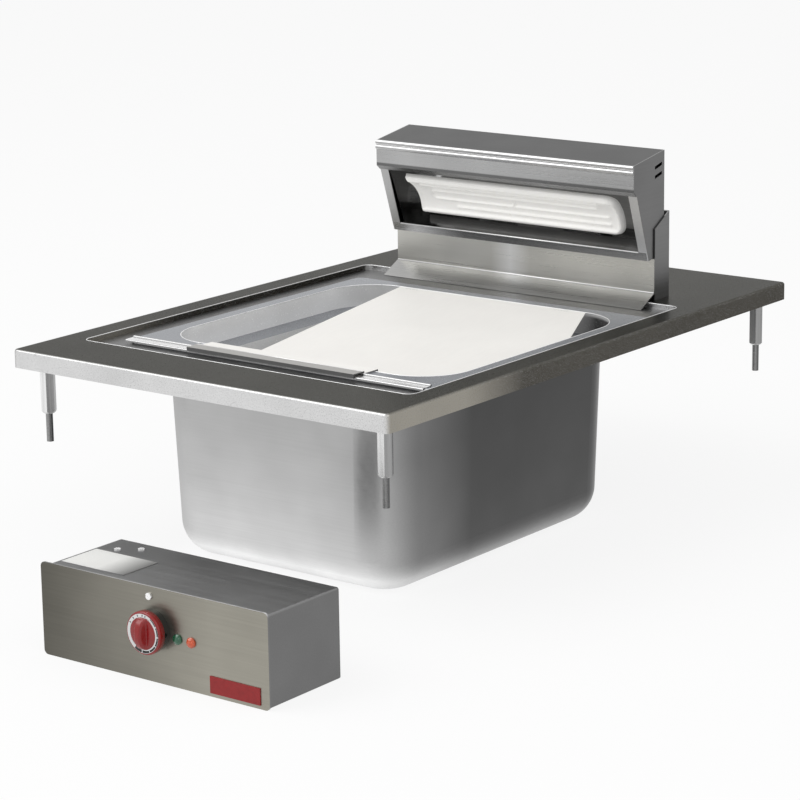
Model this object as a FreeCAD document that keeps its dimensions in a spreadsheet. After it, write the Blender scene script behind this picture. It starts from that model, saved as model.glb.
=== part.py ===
import FreeCAD, Part
import Sketcher
import math
import os

# Drop-in chip warmer with its control box. Millimetres. The origin is the middle of the stud
# rectangle on the worktop's surface, +Z is up, +X runs to the right along the front edge and +Y
# runs to the back. The well tank and the control box stand on the same level.

doc = FreeCAD.newDocument("chip_warmer")
sheet = doc.addObject("Spreadsheet::Sheet", "Sizes")

TABLE = {
    # Top plate, with its flange folded down onto the worktop and a sunken seat for the pan
    "plate_sheet": 1.5, "flange_depth": 16, "plate_corner": 4, "plate_fold": 2.5,
    "margin_left": 25, "margin_right": 22.5, "margin_front": 59, "margin_back": 147.5,
    "seat_drop": 5, "seat_corner": 8,
    # Clamp studs and hexagonal sleeves
    "stud_side_inset": 19, "stud_end_inset": 21, "stud_radius": 3, "stud_drop": 66,
    "sleeve_flats": 11.5, "sleeve_drop": 41, "sleeve_tip": 2, "sleeve_fit": 0.05,
    "tenon_radius": 2.9, "tenon_length": 12,
    # Lift-out pan, and how far its rim lies from the sides of the seat
    "pan_width": 250, "pan_length": 274, "pan_depth": 150, "pan_corner": 40, "pan_floor_round": 25,
    "pan_taper": 1.7, "pan_sheet": 1, "ledge_drop": 20, "ledge_side": 24, "ledge_end": 4,
    "mouth_corner": 45, "shelf_side": 14, "shelf_front": 25, "shelf_back": 14, "rim_corner": 9,
    "rim_bead": 4.5, "rim_height": 3, "rim_round": 1.2, "seat_gap_left": 25, "seat_gap_right": 1.5,
    "seat_gap_front": 29, "seat_gap_back": 43.5,
    # Rail along the front of the rim: a strip between two small tubes, open at their ends
    "rail_sheet": 0.6, "rail_tube": 0.9, "rail_bore": 0.5, "rail_lift": 0.05, "rail_back": 8.5,
    "rail_front": 1.4, "rail_front_drop": 0.4, "rail_right_gap": 7,
    # Well tank under the plate
    "tank_sheet": 1.2, "well_gap": 1, "tank_gap_side": 4, "tank_gap_front": 37, "tank_gap_back": 17,
    "tank_gap_floor": 34, "neck_gap": 4, "neck_end_gap": 1, "neck_corner_step": 3,
    "tank_floor_round": 31, "tank_taper": 1.65,
    # Slanted tray: gaps to the pan's walls, heights from the pan's rim
    "tray_sheet": 1, "tray_gap_back": 4.8, "tray_gap_front": 3.5, "tray_rise": 1, "tray_fall": 25.6,
    "tray_gap_left": 24.4, "tray_front_step": 7.6, "tray_back_right_gap": 17.9, "tray_side_gap": 10,
    "tray_side_back": 75, "tray_waist_gap": 6, "tray_waist_front": 87, "tray_cut_front": 41,
    "tray_front_right_gap": 37, "hook_right_gap": 37, "tray_flange": 6, "hook_gap": 0.3,
    "hook_step_gap": 0.4, "hook_lip": 2.4, "riser_lean": 5, "leg_width": 15, "leg_left_inset": 8,
    "leg_right_inset": 17,
    "leg_lean": 30, "leg_top_inset": 2,
    # Support: a front panel with its apron, and a cover round the back
    "support_setback": 9.5, "support_overhang": 1.5, "support_depth": 24.5, "support_sheet": 1.2,
    "panel_drop": 88, "apron_height": 7, "apron_reach": 22.5, "apron_gap": 0.3,
    "cover_front_drop": 61, "cover_back_drop": 47.5,
    "foot_width": 40, "foot_x": 95, "foot_sheet": 2, "foot_height": 24, "foot_depth": 17,
    "bolt_radius": 2.5, "bolt_fit": 0.05, "bolt_flats": 8, "bolt_head": 3,
    # Hood: depths from the support's front plane, heights from the plate's top
    "hood_half": 143, "hood_sheet": 1, "brow_reach": 32.5, "brow_height": 126, "top_back": 18,
    "top_rise": 8, "heel_drop": 72, "heel_in": 3.5, "heel_low_drop": 86.8, "tip_reach": 7,
    "tip_drop": 89, "lip_reach": 9.5, "lip_drop": 81.5, "mouth_reach": 28, "mouth_drop": 28,
    "face_drop": 24, "bead_radius": 2.3, "bead_drop": 6.6, "bead_pitch": 4.6, "bead_sink": 0.8,
    "strip_width": 8, "slot_y": 2.5, "slot_drop": 16.3, "slot_pitch": 8.3, "slot_length": 11.5,
    "slot_rise": 3, "slot_width": 3, "lead_gap_width": 24,
    # Reflector, ceramic element and wiring
    "reflector_gap": 9.5, "reflector_sheet": 0.8, "mirror_front": 25.8, "mirror_front_drop": 26.5,
    "mirror_top": 12, "mirror_top_drop": 5, "mirror_back": 13.5, "mirror_back_drop": 12.5,
    "mirror_heel_drop": 66, "mirror_low": 4.5, "mirror_low_drop": 82,
    "element_gap": 12.5, "element_x": -2,
    "element_radius": 32, "element_wall": 6, "element_chord": 38, "element_turn": 120,
    "element_reach": 33.8, "element_drop": 66.35, "rib_radius": 1.6, "rib_angle": 13,
    "boss_length": 40, "boss_width": 14, "boss_depth": 11, "clip_x": 75, "clip_width": 12,
    "clip_sheet": 1.2, "clip_gap": 0.6, "terminal_half": 21, "terminal_y": 2, "terminal_depth": 10,
    "terminal_low": 118.5, "terminal_height": 9, "lead_radius": 0.9, "lead_x": 60, "lead_pitch": 4,
    "lead_step": 3, "lead_top": 125, "lead_gap": 0.4, "lead_start": 10, "lead_drop": 8,
    "conduit_radius": 5, "conduit_wall": 0.8, "conduit_height": 30, "gland_y": 14, "gland_thread": 6,
    "gland_fit": 0.05, "gland_flats": 16, "gland_nut": 4, "gland_body": 6, "gland_dome": 10,
    "gland_dome_radius": 6.5, "gland_bore": 4, "spacer_radius": 4, "spacer_x": 100,
    "spacer_height": 64, "screw_radius": 2, "screw_head_radius": 3.8, "screw_head": 2,
    "screw_nut_flats": 7, "screw_nut": 2.2,
    # Control box
    "panel_left": -10, "panel_right": 218, "panel_high": 75, "panel_y": -468, "panel_sheet": 1.5,
    "panel_corner": 4, "panel_lap": 3, "box_depth": 83.5, "box_sheet": 1.2, "box_round": 2,
    "knob_x": 105.5, "knob_height": 41.5, "bezel_radius": 16.5, "bezel_wall": 2, "bezel_thick": 5.6,
    "knob_radius": 17, "knob_gap": 0.4, "knob_skirt": 5.8, "knob_edge": 1.6, "knob_hub": 7,
    "knob_hub_gap": 0.8, "ring_outer": 15.4, "ring_inner": 12.6, "ring_sink": 0.6, "ring_proud": 0.1,
    "ring_fit": 0.05, "dome_radius": 12.2, "dome_rise": 2.6, "grip_width": 7, "grip_rise": 7.6,
    "grip_corner": 2.4, "grip_inset": 0.6, "shaft_radius": 2, "shaft_fit": 0.05, "shaft_reach": 13,
    "shaft_back": 14, "bushing_radius": 5, "bushing_fit": 0.05, "bushing_reach": 2.8, "nut_flats": 14,
    "nut_thick": 2.4, "regulator_width": 34, "regulator_height": 38, "regulator_depth": 24,
    "lamp_x": 129.7, "lamp_pitch": 13.5, "lamp_height": 38.4, "lens_radius": 4.1, "lens_collar": 1,
    "lens_dome": 2.2, "lamp_radius": 3.4, "lamp_fit": 0.1, "lamp_back": 20, "holder_radius": 5.6,
    "holder_depth": 3, "screw_x": 102.4, "screw_height": 67.3, "small_screw": 1.5,
    "small_head": 2.7, "small_head_thick": 1.4, "small_reach": 6, "small_fit": 0.05,
    "slot_cut": 0.8, "badge_left": 161, "badge_width": 48.5, "badge_low": 3, "badge_high": 13.3,
    "badge_thick": 0.8, "rating_left": 7, "rating_width": 65, "rating_front": 16, "rating_deep": 39,
    "rating_thick": 0.3, "top_screw_x": 12.7, "top_screw_back": 22.8, "top_screw_step": 15.4,
    "top_screw_rise": 10.7, "block_left": 30, "block_width": 46, "block_deep": 18, "block_high": 16,
    "block_back": 28, "rear_gland_x": 50, "rear_gland_pitch": 110, "rear_gland_height": 36,
    # How far a cutting tool runs past the face that it opens
    "overrun": 1,
}
for number, (name, value) in enumerate(TABLE.items(), 1):
    sheet.set("A%d" % number, str(value))
    sheet.setAlias("A%d" % number, name)
doc.recompute()


class Dim:
    """A length with its formula in the sheet: arithmetic on it carries both along."""

    def __init__(self, value, text):
        self.value = value
        self.text = text

    def __add__(self, other):
        other = dim(other)
        return Dim(self.value + other.value, "(%s + %s)" % (self.text, other.text))

    def __sub__(self, other):
        other = dim(other)
        return Dim(self.value - other.value, "(%s - %s)" % (self.text, other.text))

    def __mul__(self, other):
        other = dim(other)
        return Dim(self.value * other.value, "(%s * %s)" % (self.text, other.text))

    def __truediv__(self, other):
        other = dim(other)
        return Dim(self.value / other.value, "(%s / %s)" % (self.text, other.text))

    def __neg__(self):
        return Dim(-self.value, "(0 - %s)" % self.text)


def dim(thing):
    """A Dim stays as it is, and a plain number becomes one."""
    if isinstance(thing, Dim):
        return thing
    return Dim(float(thing), "(%g)" % thing)


class Sizes:
    """Every named size of the sheet, as sizes.name."""

    def __getattr__(self, name):
        return Dim(float(getattr(sheet, name)), "Sizes." + name)


sizes = Sizes()
ORIGIN = FreeCAD.Vector(0, 0, 0)
ALONG_X = FreeCAD.Rotation(FreeCAD.Vector(0, 1, 0), 90)
TO_FRONT = FreeCAD.Rotation(FreeCAD.Vector(1, 0, 0), 90)
UPRIGHT = FreeCAD.Rotation()


def bind(thing, prop, formula):
    thing.setExpression(prop, dim(formula).text)


def put(thing, x, y, z, turn=UPRIGHT):
    """Turn an object and tie its place to the sheet."""
    thing.Placement = FreeCAD.Placement(ORIGIN, turn)
    bind(thing, ".Placement.Base.x", x)
    bind(thing, ".Placement.Base.y", y)
    bind(thing, ".Placement.Base.z", z)
    return thing


def block(name, x_span, y_span, z_span):
    """A box between two places on each axis."""
    thing = doc.addObject("Part::Box", name)
    bind(thing, "Length", x_span[1] - x_span[0])
    bind(thing, "Width", y_span[1] - y_span[0])
    bind(thing, "Height", z_span[1] - z_span[0])
    return put(thing, x_span[0], y_span[0], z_span[0])


def rod(name, radius, length, x, y, z, turn=UPRIGHT):
    thing = doc.addObject("Part::Cylinder", name)
    bind(thing, "Radius", radius)
    bind(thing, "Height", length)
    return put(thing, x, y, z, turn)


def hexagon(name, flats, length, x, y, z, turn=UPRIGHT):
    thing = doc.addObject("Part::Prism", name)
    thing.Polygon = 6
    bind(thing, "Circumradius", flats / dim(2 * math.cos(math.pi / 6)))
    bind(thing, "Height", length)
    return put(thing, x, y, z, turn)


def fuse(name, pieces):
    thing = doc.addObject("Part::MultiFuse", name)
    thing.Shapes = pieces
    return thing


def cut(name, base, tools):
    thing = doc.addObject("Part::Cut", name)
    thing.Base = base
    thing.Tool = tools[0] if len(tools) == 1 else fuse(name + "_tools", tools)
    return thing


def common(name, base, tool):
    thing = doc.addObject("Part::Common", name)
    thing.Base = base
    thing.Tool = tool
    return thing


def group(name, pieces):
    """Separate solids that are one sub-part."""
    thing = doc.addObject("Part::Compound", name)
    thing.Links = pieces
    return thing


def profile(name, plane, points, length, start, down=False, taper=None):
    """A body: a closed outline of straight lines on an origin plane, padded from start."""
    body = doc.addObject("PartDesign::Body", name)
    sketch = body.newObject("Sketcher::SketchObject", name + "_sketch")
    for feature in body.Origin.OriginFeatures:
        if feature.Role == plane + "_Plane":
            sketch.AttachmentSupport = [(feature, "")]
    sketch.MapMode = "FlatFace"
    bind(sketch, ".AttachmentOffset.Base.z", start)
    corners = [FreeCAD.Vector(dim(a).value, dim(b).value, 0) for a, b in points]
    count = len(corners)
    for index in range(count):
        sketch.addGeometry(Part.LineSegment(corners[index], corners[(index + 1) % count]), False)
    for index in range(count):
        after = (index + 1) % count
        sketch.addConstraint(Sketcher.Constraint("Coincident", index, 2, after, 1))
    for index, (across, along) in enumerate(points):
        tie(sketch, "DistanceX", index, dim(across))
        tie(sketch, "DistanceY", index, dim(along))
    pad = body.newObject("PartDesign::Pad", name + "_pad")
    pad.Profile = sketch
    bind(pad, "Length", length)
    pad.Reversed = down
    if taper is not None:
        bind(pad, "TaperAngle", -taper)
    body.Tip = pad
    return body


def tie(sketch, kind, index, formula):
    """Bind one corner's distance from the sketch's origin, unless it lies on the axis."""
    number = sketch.addConstraint(Sketcher.Constraint(kind, -1, 1, index, 1, formula.value))
    bind(sketch, "Constraints[%d]" % number, formula)


def soften(body, label, radius, wanted):
    """Fillet the edges that the test picks on the body's last feature."""
    doc.recompute()
    last = body.Tip
    picked = []
    for number, edge in enumerate(last.Shape.Edges, 1):
        if wanted(edge, last.Shape):
            picked.append("Edge%d" % number)
    feature = body.newObject("PartDesign::Fillet", body.Name + "_" + label)
    feature.Base = (last, picked)
    bind(feature, "Radius", radius)
    body.Tip = feature
    return body


TOUCH = 0.001


def spans(edge):
    """How far apart the edge's two ends are along each axis."""
    step = edge.Vertexes[0].Point - edge.Vertexes[-1].Point
    return abs(step.x), abs(step.y), abs(step.z)


def stands(edge, whole):
    x, y, z = spans(edge)
    return z > max(x, y)


def runs_back(edge, whole):
    x, y, z = spans(edge)
    return y > max(x, z)


def lowest(edge, whole):
    floor = min(vertex.Z for vertex in whole.Vertexes)
    return all(vertex.Z < floor + TOUCH for vertex in edge.Vertexes)


def on_front(edge, whole):
    front = min(vertex.Y for vertex in whole.Vertexes)
    return all(vertex.Y < front + TOUCH for vertex in edge.Vertexes)


def highest(edge, whole):
    top = max(vertex.Z for vertex in whole.Vertexes)
    return all(vertex.Z > top - TOUCH for vertex in edge.Vertexes)


def rectangle(x, y, width, length):
    half_x = width / 2
    half_y = length / 2
    return [(x - half_x, y - half_y), (x + half_x, y - half_y),
            (x + half_x, y + half_y), (x - half_x, y + half_y)]


def rounded_block(name, x, y, width, length, low, high, corner):
    body = profile(name, "XY", rectangle(x, y, width, length), high - low, low)
    return soften(body, "corners", corner, stands)


def drafted_form(name, x, y, width, length, top, depth, taper, corner, floor_round):
    """A basin's outside: it narrows downwards, with round corners and a round floor edge."""
    body = profile(name, "XY", rectangle(x, y, width, length), depth, top, True, taper)
    soften(body, "corners", corner, stands)
    return soften(body, "floor", floor_round, lowest)


# Levels and places that several sub-parts share
plate_top = sizes.flange_depth
plate_under = plate_top - sizes.plate_sheet
seat_floor = plate_top - sizes.seat_drop
seat_under = seat_floor - sizes.plate_sheet
rim_top = seat_floor + sizes.rim_height
rim_under = rim_top - sizes.pan_sheet
pan_ledge = rim_top - sizes.ledge_drop
pan_floor = rim_top - sizes.pan_depth + sizes.pan_sheet
tank_ledge = pan_ledge - sizes.pan_sheet - sizes.well_gap
ground = rim_top - sizes.pan_depth - sizes.tank_gap_floor

mouth_width = sizes.pan_width + sizes.ledge_side * 2
mouth_length = sizes.pan_length + sizes.ledge_end * 2
rim_width = mouth_width + sizes.shelf_side * 2
rim_length = mouth_length + sizes.shelf_front + sizes.shelf_back
seat_width = rim_width + sizes.seat_gap_left + sizes.seat_gap_right
seat_length = rim_length + sizes.seat_gap_front + sizes.seat_gap_back
plate_width = seat_width + sizes.margin_left + sizes.margin_right
plate_length = seat_length + sizes.margin_front + sizes.margin_back
half_width = plate_width / 2
half_length = plate_length / 2
tank_width = sizes.pan_width + sizes.tank_gap_side * 2
tank_length = sizes.pan_length + sizes.tank_gap_front + sizes.tank_gap_back

seat_x = (sizes.margin_left - sizes.margin_right) / 2
seat_y = (sizes.margin_front - sizes.margin_back) / 2
well_x = seat_x + (sizes.seat_gap_left - sizes.seat_gap_right) / 2
rim_y = seat_y + (sizes.seat_gap_front - sizes.seat_gap_back) / 2
pan_y = rim_y + (sizes.shelf_front - sizes.shelf_back) / 2
tank_y = pan_y - (sizes.tank_gap_front - sizes.tank_gap_back) / 2
rim_front = rim_y - rim_length / 2
support_y = seat_y + seat_length / 2 + sizes.support_setback

gland_x = sizes.lead_x
gland_y = support_y + sizes.gland_y
lead_y = support_y + sizes.top_back - sizes.hood_sheet - sizes.lead_radius - sizes.lead_gap
foot_back = support_y + sizes.support_depth - sizes.support_sheet
foot_bolt_y = foot_back - sizes.foot_depth / 2

# The hood's half lengths and its heights over the plate, all led by its own length and brow
support_half = sizes.hood_half + sizes.support_overhang
reflector_half = sizes.hood_half - sizes.reflector_gap
element_half = reflector_half - sizes.element_gap
face_low = sizes.brow_height - sizes.face_drop
mouth_height = sizes.brow_height - sizes.mouth_drop
bead_low = sizes.brow_height - sizes.bead_drop
slot_low = sizes.brow_height - sizes.slot_drop
mirror_front_height = sizes.brow_height - sizes.mirror_front_drop
mirror_top_height = sizes.brow_height - sizes.mirror_top_drop
mirror_back_high = sizes.brow_height - sizes.mirror_back_drop
mirror_back_low = sizes.brow_height - sizes.mirror_heel_drop
mirror_low_height = sizes.brow_height - sizes.mirror_low_drop
top_back_height = sizes.brow_height + sizes.top_rise
heel_height = sizes.brow_height - sizes.heel_drop
heel_low = sizes.brow_height - sizes.heel_low_drop
tip_height = sizes.brow_height - sizes.tip_drop
lip_height = sizes.brow_height - sizes.lip_drop
element_height = sizes.brow_height - sizes.element_drop
panel_height = sizes.brow_height - sizes.panel_drop
cover_front_height = sizes.brow_height - sizes.cover_front_drop
cover_back_height = sizes.brow_height - sizes.cover_back_drop


def well_opening(name, low, high):
    """The hole that the pan's neck goes down through."""
    around = (sizes.pan_sheet + sizes.well_gap) * 2
    return rounded_block(name, well_x, pan_y, mouth_width + around, mouth_length + around, low, high,
                         sizes.mouth_corner + around / 2)


def top_plate():
    """A folded plate with a sunken seat for the pan's rim."""
    wall = sizes.plate_sheet
    over = sizes.overrun
    body = profile("plate_outside", "XY", rectangle(dim(0), dim(0), plate_width, plate_length),
                   sizes.flange_depth, dim(0))
    soften(body, "corners", sizes.plate_corner, stands)
    soften(body, "fold", sizes.plate_fold, highest)
    inner = profile("plate_inside", "XY",
                    rectangle(dim(0), dim(0), plate_width - wall * 2, plate_length - wall * 2),
                    plate_under + over, -over)
    soften(inner, "corners", sizes.plate_corner - wall, stands)
    soften(inner, "fold", sizes.plate_fold - wall, highest)
    seat = rounded_block("plate_seat", seat_x, seat_y, seat_width + wall * 2, seat_length + wall * 2,
                         seat_under, plate_under, sizes.seat_corner + wall)
    room = rounded_block("plate_seat_room", seat_x, seat_y, seat_width, seat_length, seat_floor,
                         plate_top + over, sizes.seat_corner)
    opening = well_opening("plate_opening", dim(0), plate_top + over)
    gland = rod("plate_gland_hole", sizes.gland_thread + sizes.gland_fit, plate_top + over,
                gland_x, gland_y, dim(0))
    bolts = []
    for side, x in both_sides(sizes.foot_x):
        bolts.append(rod("plate_bolt_hole_" + side, sizes.bolt_radius + sizes.bolt_fit,
                         plate_top + over, x, foot_bolt_y, dim(0)))
    shell = cut("plate_shell", body, [inner])
    return cut("top_plate", fuse("plate_whole", [shell, seat]), [room, opening, gland] + bolts)


def stud_places():
    across = half_width - sizes.stud_side_inset
    along = half_length - sizes.stud_end_inset
    return [(-across, -along), (across, -along), (-across, along), (across, along)]


def stud_sleeves():
    """Hexagonal spacers on the studs, from the plate down, with a tapered lower end."""
    sleeves = []
    for index, (x, y) in enumerate(stud_places()):
        name = "sleeve_%d" % index
        length = plate_under + sizes.sleeve_drop
        bar = hexagon(name + "_bar", sizes.sleeve_flats, length, x, y, -sizes.sleeve_drop)
        cone = doc.addObject("Part::Cone", name + "_tip")
        bind(cone, "Radius1", sizes.sleeve_flats / 2 - sizes.sleeve_tip / 2)
        bind(cone, "Radius2", sizes.sleeve_flats / 2 + length - sizes.sleeve_tip / 2)
        bind(cone, "Height", length)
        put(cone, x, y, -sizes.sleeve_drop)
        tapered = common(name + "_tapered", bar, cone)
        bore = rod(name + "_bore", sizes.tenon_radius + sizes.sleeve_fit,
                   sizes.tenon_length + sizes.overrun * 2, x, y, -sizes.sleeve_drop - sizes.overrun)
        sleeves.append(cut(name, tapered, [bore]))
    return group("stud_sleeves", sleeves)


def stud_pins():
    """Studs below the sleeves, each with a tenon up into its sleeve."""
    pins = []
    for index, (x, y) in enumerate(stud_places()):
        name = "stud_%d" % index
        free = rod(name + "_free", sizes.stud_radius, sizes.stud_drop - sizes.sleeve_drop, x, y,
                   -sizes.stud_drop)
        tenon = rod(name + "_tenon", sizes.tenon_radius, sizes.tenon_length, x, y, -sizes.sleeve_drop)
        pins.append(fuse(name, [free, tenon]))
    return group("stud_pins", pins)


def well_tank():
    """A neck room under the plate's seat and a drafted basin below it, in one thin wall."""
    wall = sizes.tank_sheet
    neck_width = mouth_width + sizes.neck_gap * 2
    neck_length = tank_length + sizes.neck_end_gap * 2
    neck_corner = sizes.mouth_corner + sizes.neck_corner_step
    neck = rounded_block("tank_neck", well_x, tank_y, neck_width, neck_length, tank_ledge - wall,
                         seat_under, neck_corner)
    basin = drafted_form("tank_basin", well_x, tank_y, tank_width, tank_length, tank_ledge,
                         tank_ledge - ground, sizes.tank_taper, sizes.pan_corner,
                         sizes.tank_floor_round)
    neck_room = rounded_block("tank_neck_room", well_x, tank_y, neck_width - wall * 2,
                              neck_length - wall * 2, tank_ledge, seat_under + sizes.overrun,
                              neck_corner - wall)
    basin_room = drafted_form("tank_basin_room", well_x, tank_y, tank_width - wall * 2,
                              tank_length - wall * 2, tank_ledge, tank_ledge - ground - wall,
                              sizes.tank_taper, sizes.pan_corner - wall, sizes.tank_floor_round - wall)
    return cut("well_tank", fuse("tank_outside", [neck, basin]), [neck_room, basin_room])


def gn_pan():
    """The lift-out pan: a rolled rim, an upright neck, a ledge and a drafted body."""
    wall = sizes.pan_sheet
    rim = profile("pan_rim", "XY", rectangle(well_x, rim_y, rim_width, rim_length),
                  sizes.rim_height, seat_floor)
    soften(rim, "corners", sizes.rim_corner, stands)
    soften(rim, "top", sizes.rim_round, highest)
    soften(rim, "under", sizes.rim_round, lowest)
    under = rounded_block("pan_rim_under", well_x, rim_y, rim_width - sizes.rim_bead * 2,
                          rim_length - sizes.rim_bead * 2, seat_floor - sizes.overrun, rim_under,
                          sizes.rim_corner - sizes.rim_bead)
    neck = rounded_block("pan_neck", well_x, pan_y, mouth_width + wall * 2, mouth_length + wall * 2,
                         pan_ledge - wall, rim_under, sizes.mouth_corner + wall)
    neck_room = rounded_block("pan_neck_room", well_x, pan_y, mouth_width, mouth_length, pan_ledge,
                              rim_top + sizes.overrun, sizes.mouth_corner)
    depth = pan_ledge - rim_top + sizes.pan_depth
    basin = drafted_form("pan_basin", well_x, pan_y, sizes.pan_width, sizes.pan_length, pan_ledge,
                         depth, sizes.pan_taper, sizes.pan_corner, sizes.pan_floor_round)
    basin_room = drafted_form("pan_basin_room", well_x, pan_y, sizes.pan_width - wall * 2,
                              sizes.pan_length - wall * 2, pan_ledge, depth - wall, sizes.pan_taper,
                              sizes.pan_corner - wall, sizes.pan_floor_round - wall)
    beaded = cut("pan_beaded_rim", rim, [under])
    return cut("gn_pan", fuse("pan_outside", [beaded, neck, basin]), [neck_room, basin_room])


rail_left = well_x - rim_width / 2
rail_right = well_x + rim_width / 2 - sizes.rail_right_gap
rail_back_y = rim_front + sizes.rail_back
rail_back_z = rim_top + sizes.rail_tube + sizes.rail_lift
rail_front_y = rim_front - sizes.rail_front
rail_front_z = rim_top - sizes.rail_front_drop
rail_top = rail_back_z + sizes.rail_tube


def rim_rail():
    """A strip on the front of the rim with a small open tube along each edge."""
    length = rail_right - rail_left
    strip = block("rail_strip", (rail_left, rail_right), (rail_front_y, rail_back_y),
                  (rim_top, rim_top + sizes.rail_sheet))
    tubes = []
    bores = []
    for side, y, z in (("back", rail_back_y, rail_back_z), ("front", rail_front_y, rail_front_z)):
        tubes.append(rod("rail_tube_" + side, sizes.rail_tube, length, rail_left, y, z, ALONG_X))
        bores.append(rod("rail_bore_" + side, sizes.rail_bore, length + sizes.overrun * 2,
                         rail_left - sizes.overrun, y, z, ALONG_X))
    return cut("rim_rail", fuse("rail_outside", [strip] + tubes), bores)


# The tray's places, worked out from the pan's inner walls at its ledge
wall_left = well_x - sizes.pan_width / 2 + sizes.pan_sheet
wall_right = well_x + sizes.pan_width / 2 - sizes.pan_sheet
wall_front = pan_y - sizes.pan_length / 2 + sizes.pan_sheet
tray_back = pan_y + mouth_length / 2 - sizes.tray_gap_back
tray_front = wall_front + sizes.tray_gap_front
tray_back_left = wall_left + sizes.tray_gap_left
tray_front_left = tray_back_left + sizes.tray_front_step
tray_back_right = wall_right - sizes.tray_back_right_gap
tray_side_right = well_x + mouth_width / 2 - sizes.tray_side_gap
tray_waist_right = wall_right - sizes.tray_waist_gap
tray_front_right = wall_right - sizes.tray_front_right_gap
hook_right = wall_right - sizes.hook_right_gap


def tray_height(y):
    """Height of the tray's top at a place along its length."""
    return rim_top + sizes.tray_rise - sizes.tray_fall * ((tray_back - y) / (tray_back - tray_front))


def chip_tray():
    wall = sizes.tray_sheet
    outline = [(tray_back_left, tray_back), (tray_front_left, tray_front),
               (tray_front_right, tray_front), (tray_waist_right, wall_front + sizes.tray_cut_front),
               (tray_waist_right, wall_front + sizes.tray_waist_front),
               (tray_side_right, tray_back - sizes.tray_side_back), (tray_back_right, tray_back)]
    low = rim_top - sizes.tray_fall - sizes.tray_flange * 2
    high = rim_top + sizes.tray_rise + sizes.overrun
    plan = profile("tray_plan", "XY", outline, high - low, low)
    surface = common("tray_surface", plan, slanted_slab("tray_slab", wall))
    edge = [(tray_back_left, tray_back), (tray_front_left, tray_front),
            (tray_front_left + wall, tray_front), (tray_back_left + wall, tray_back)]
    strip = profile("tray_edge_plan", "XY", edge, high - low, low)
    flange = common("tray_edge", strip, slanted_slab("tray_edge_slab", sizes.tray_flange))
    return fuse("chip_tray", [surface, flange, tray_hook()] + tray_legs())


def slanted_slab(name, thick):
    points = [(tray_back, tray_height(tray_back)), (tray_front, tray_height(tray_front)),
              (tray_front, tray_height(tray_front) - thick), (tray_back, tray_height(tray_back) - thick)]
    return profile(name, "YZ", points, tray_side_right - tray_back_left, tray_back_left)


def tray_hook():
    """The riser at the tray's front, a step over the rim and the strip that hooks over the rail."""
    wall = sizes.tray_sheet
    riser_top = tray_front - sizes.riser_lean
    step_under = rim_top + sizes.hook_gap
    step_over = step_under + wall
    step_front = rail_back_y + sizes.rail_tube + sizes.hook_step_gap
    hook_under = rail_top + sizes.hook_gap
    hook_over = hook_under + wall
    lip_inside = rail_front_y - sizes.rail_tube - sizes.hook_gap
    lip_low = hook_under - sizes.hook_lip
    low = tray_height(tray_front)
    points = [(tray_front, low), (riser_top, step_over), (step_front + wall, step_over),
              (step_front + wall, hook_over), (lip_inside - wall, hook_over),
              (lip_inside - wall, lip_low), (lip_inside, lip_low), (lip_inside, hook_under),
              (step_front, hook_under), (step_front, step_under), (riser_top - wall, step_under),
              (tray_front - wall, low - wall), (tray_front, low - wall)]
    return profile("tray_hook", "YZ", points, hook_right - tray_front_left, tray_front_left)


def tray_legs():
    legs = []
    wall = sizes.tray_sheet
    top = tray_back - sizes.leg_top_inset
    foot = top - sizes.leg_lean
    low = pan_floor + sizes.hook_gap
    right = tray_back_right - sizes.leg_right_inset - sizes.leg_width
    left = tray_back_left + sizes.leg_left_inset
    for side, x in (("left", left), ("right", right)):
        points = [(top, tray_height(top)), (top - wall, tray_height(top)), (foot - wall, low),
                  (foot, low)]
        legs.append(profile("tray_leg_" + side, "YZ", points, sizes.leg_width, x))
    return legs


def side_point(reach, height):
    """A place in the side view: depth behind the support's front plane, height over the plate."""
    return (support_y + reach, plate_top + height)


def across(name, points, half):
    """A profile seen from the side, padded over the whole width between two sides."""
    return profile(name, "YZ", points, half * 2, -half)


def support_front():
    wall = sizes.support_sheet
    toe = sizes.apron_gap - sizes.seat_drop
    points = [side_point(dim(0), panel_height), side_point(dim(0), sizes.apron_height),
              side_point(-sizes.apron_reach, toe), side_point(wall * 2 - sizes.apron_reach, toe),
              side_point(wall, sizes.apron_height - wall / 2),
              side_point(wall, panel_height)]
    return across("support_front", points, support_half)


def support_cover():
    wall = sizes.support_sheet
    front_height = cover_front_height
    points = [side_point(wall, dim(0)), side_point(sizes.support_depth, dim(0)),
              side_point(sizes.support_depth, cover_back_height), side_point(wall, front_height)]
    outside = across("cover_outside", points, support_half)
    room = block("cover_room", (wall - support_half, support_half - wall),
                 (support_y, support_y + sizes.support_depth - wall),
                 (plate_top - sizes.overrun, plate_top + cover_back_height + sizes.overrun))
    holes = []
    for side, x in both_sides(sizes.spacer_x):
        holes.append(rod("cover_hole_" + side, sizes.screw_radius + sizes.shaft_fit,
                         wall + sizes.overrun * 2, x,
                         support_y + sizes.support_depth + sizes.overrun,
                         plate_top + sizes.spacer_height, TO_FRONT))
    return cut("support_cover", outside, [room] + holes)


def support_feet():
    """Two angle brackets that hold the cover's back to the plate."""
    feet = []
    back = foot_back
    wall = sizes.foot_sheet
    points = [(back, plate_top), (back, plate_top + sizes.foot_height),
              (back - wall, plate_top + sizes.foot_height), (back - wall, plate_top + wall),
              (back - sizes.foot_depth, plate_top + wall), (back - sizes.foot_depth, plate_top)]
    for side, x in both_sides(sizes.foot_x):
        angle = profile("foot_angle_" + side, "YZ", points, sizes.foot_width, x - sizes.foot_width / 2)
        hole = rod("foot_hole_" + side, sizes.bolt_radius + sizes.bolt_fit, wall + sizes.overrun * 2,
                   x, foot_bolt_y, plate_top - sizes.overrun)
        feet.append(cut("foot_" + side, angle, [hole]))
    return group("support_feet", feet)


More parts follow.
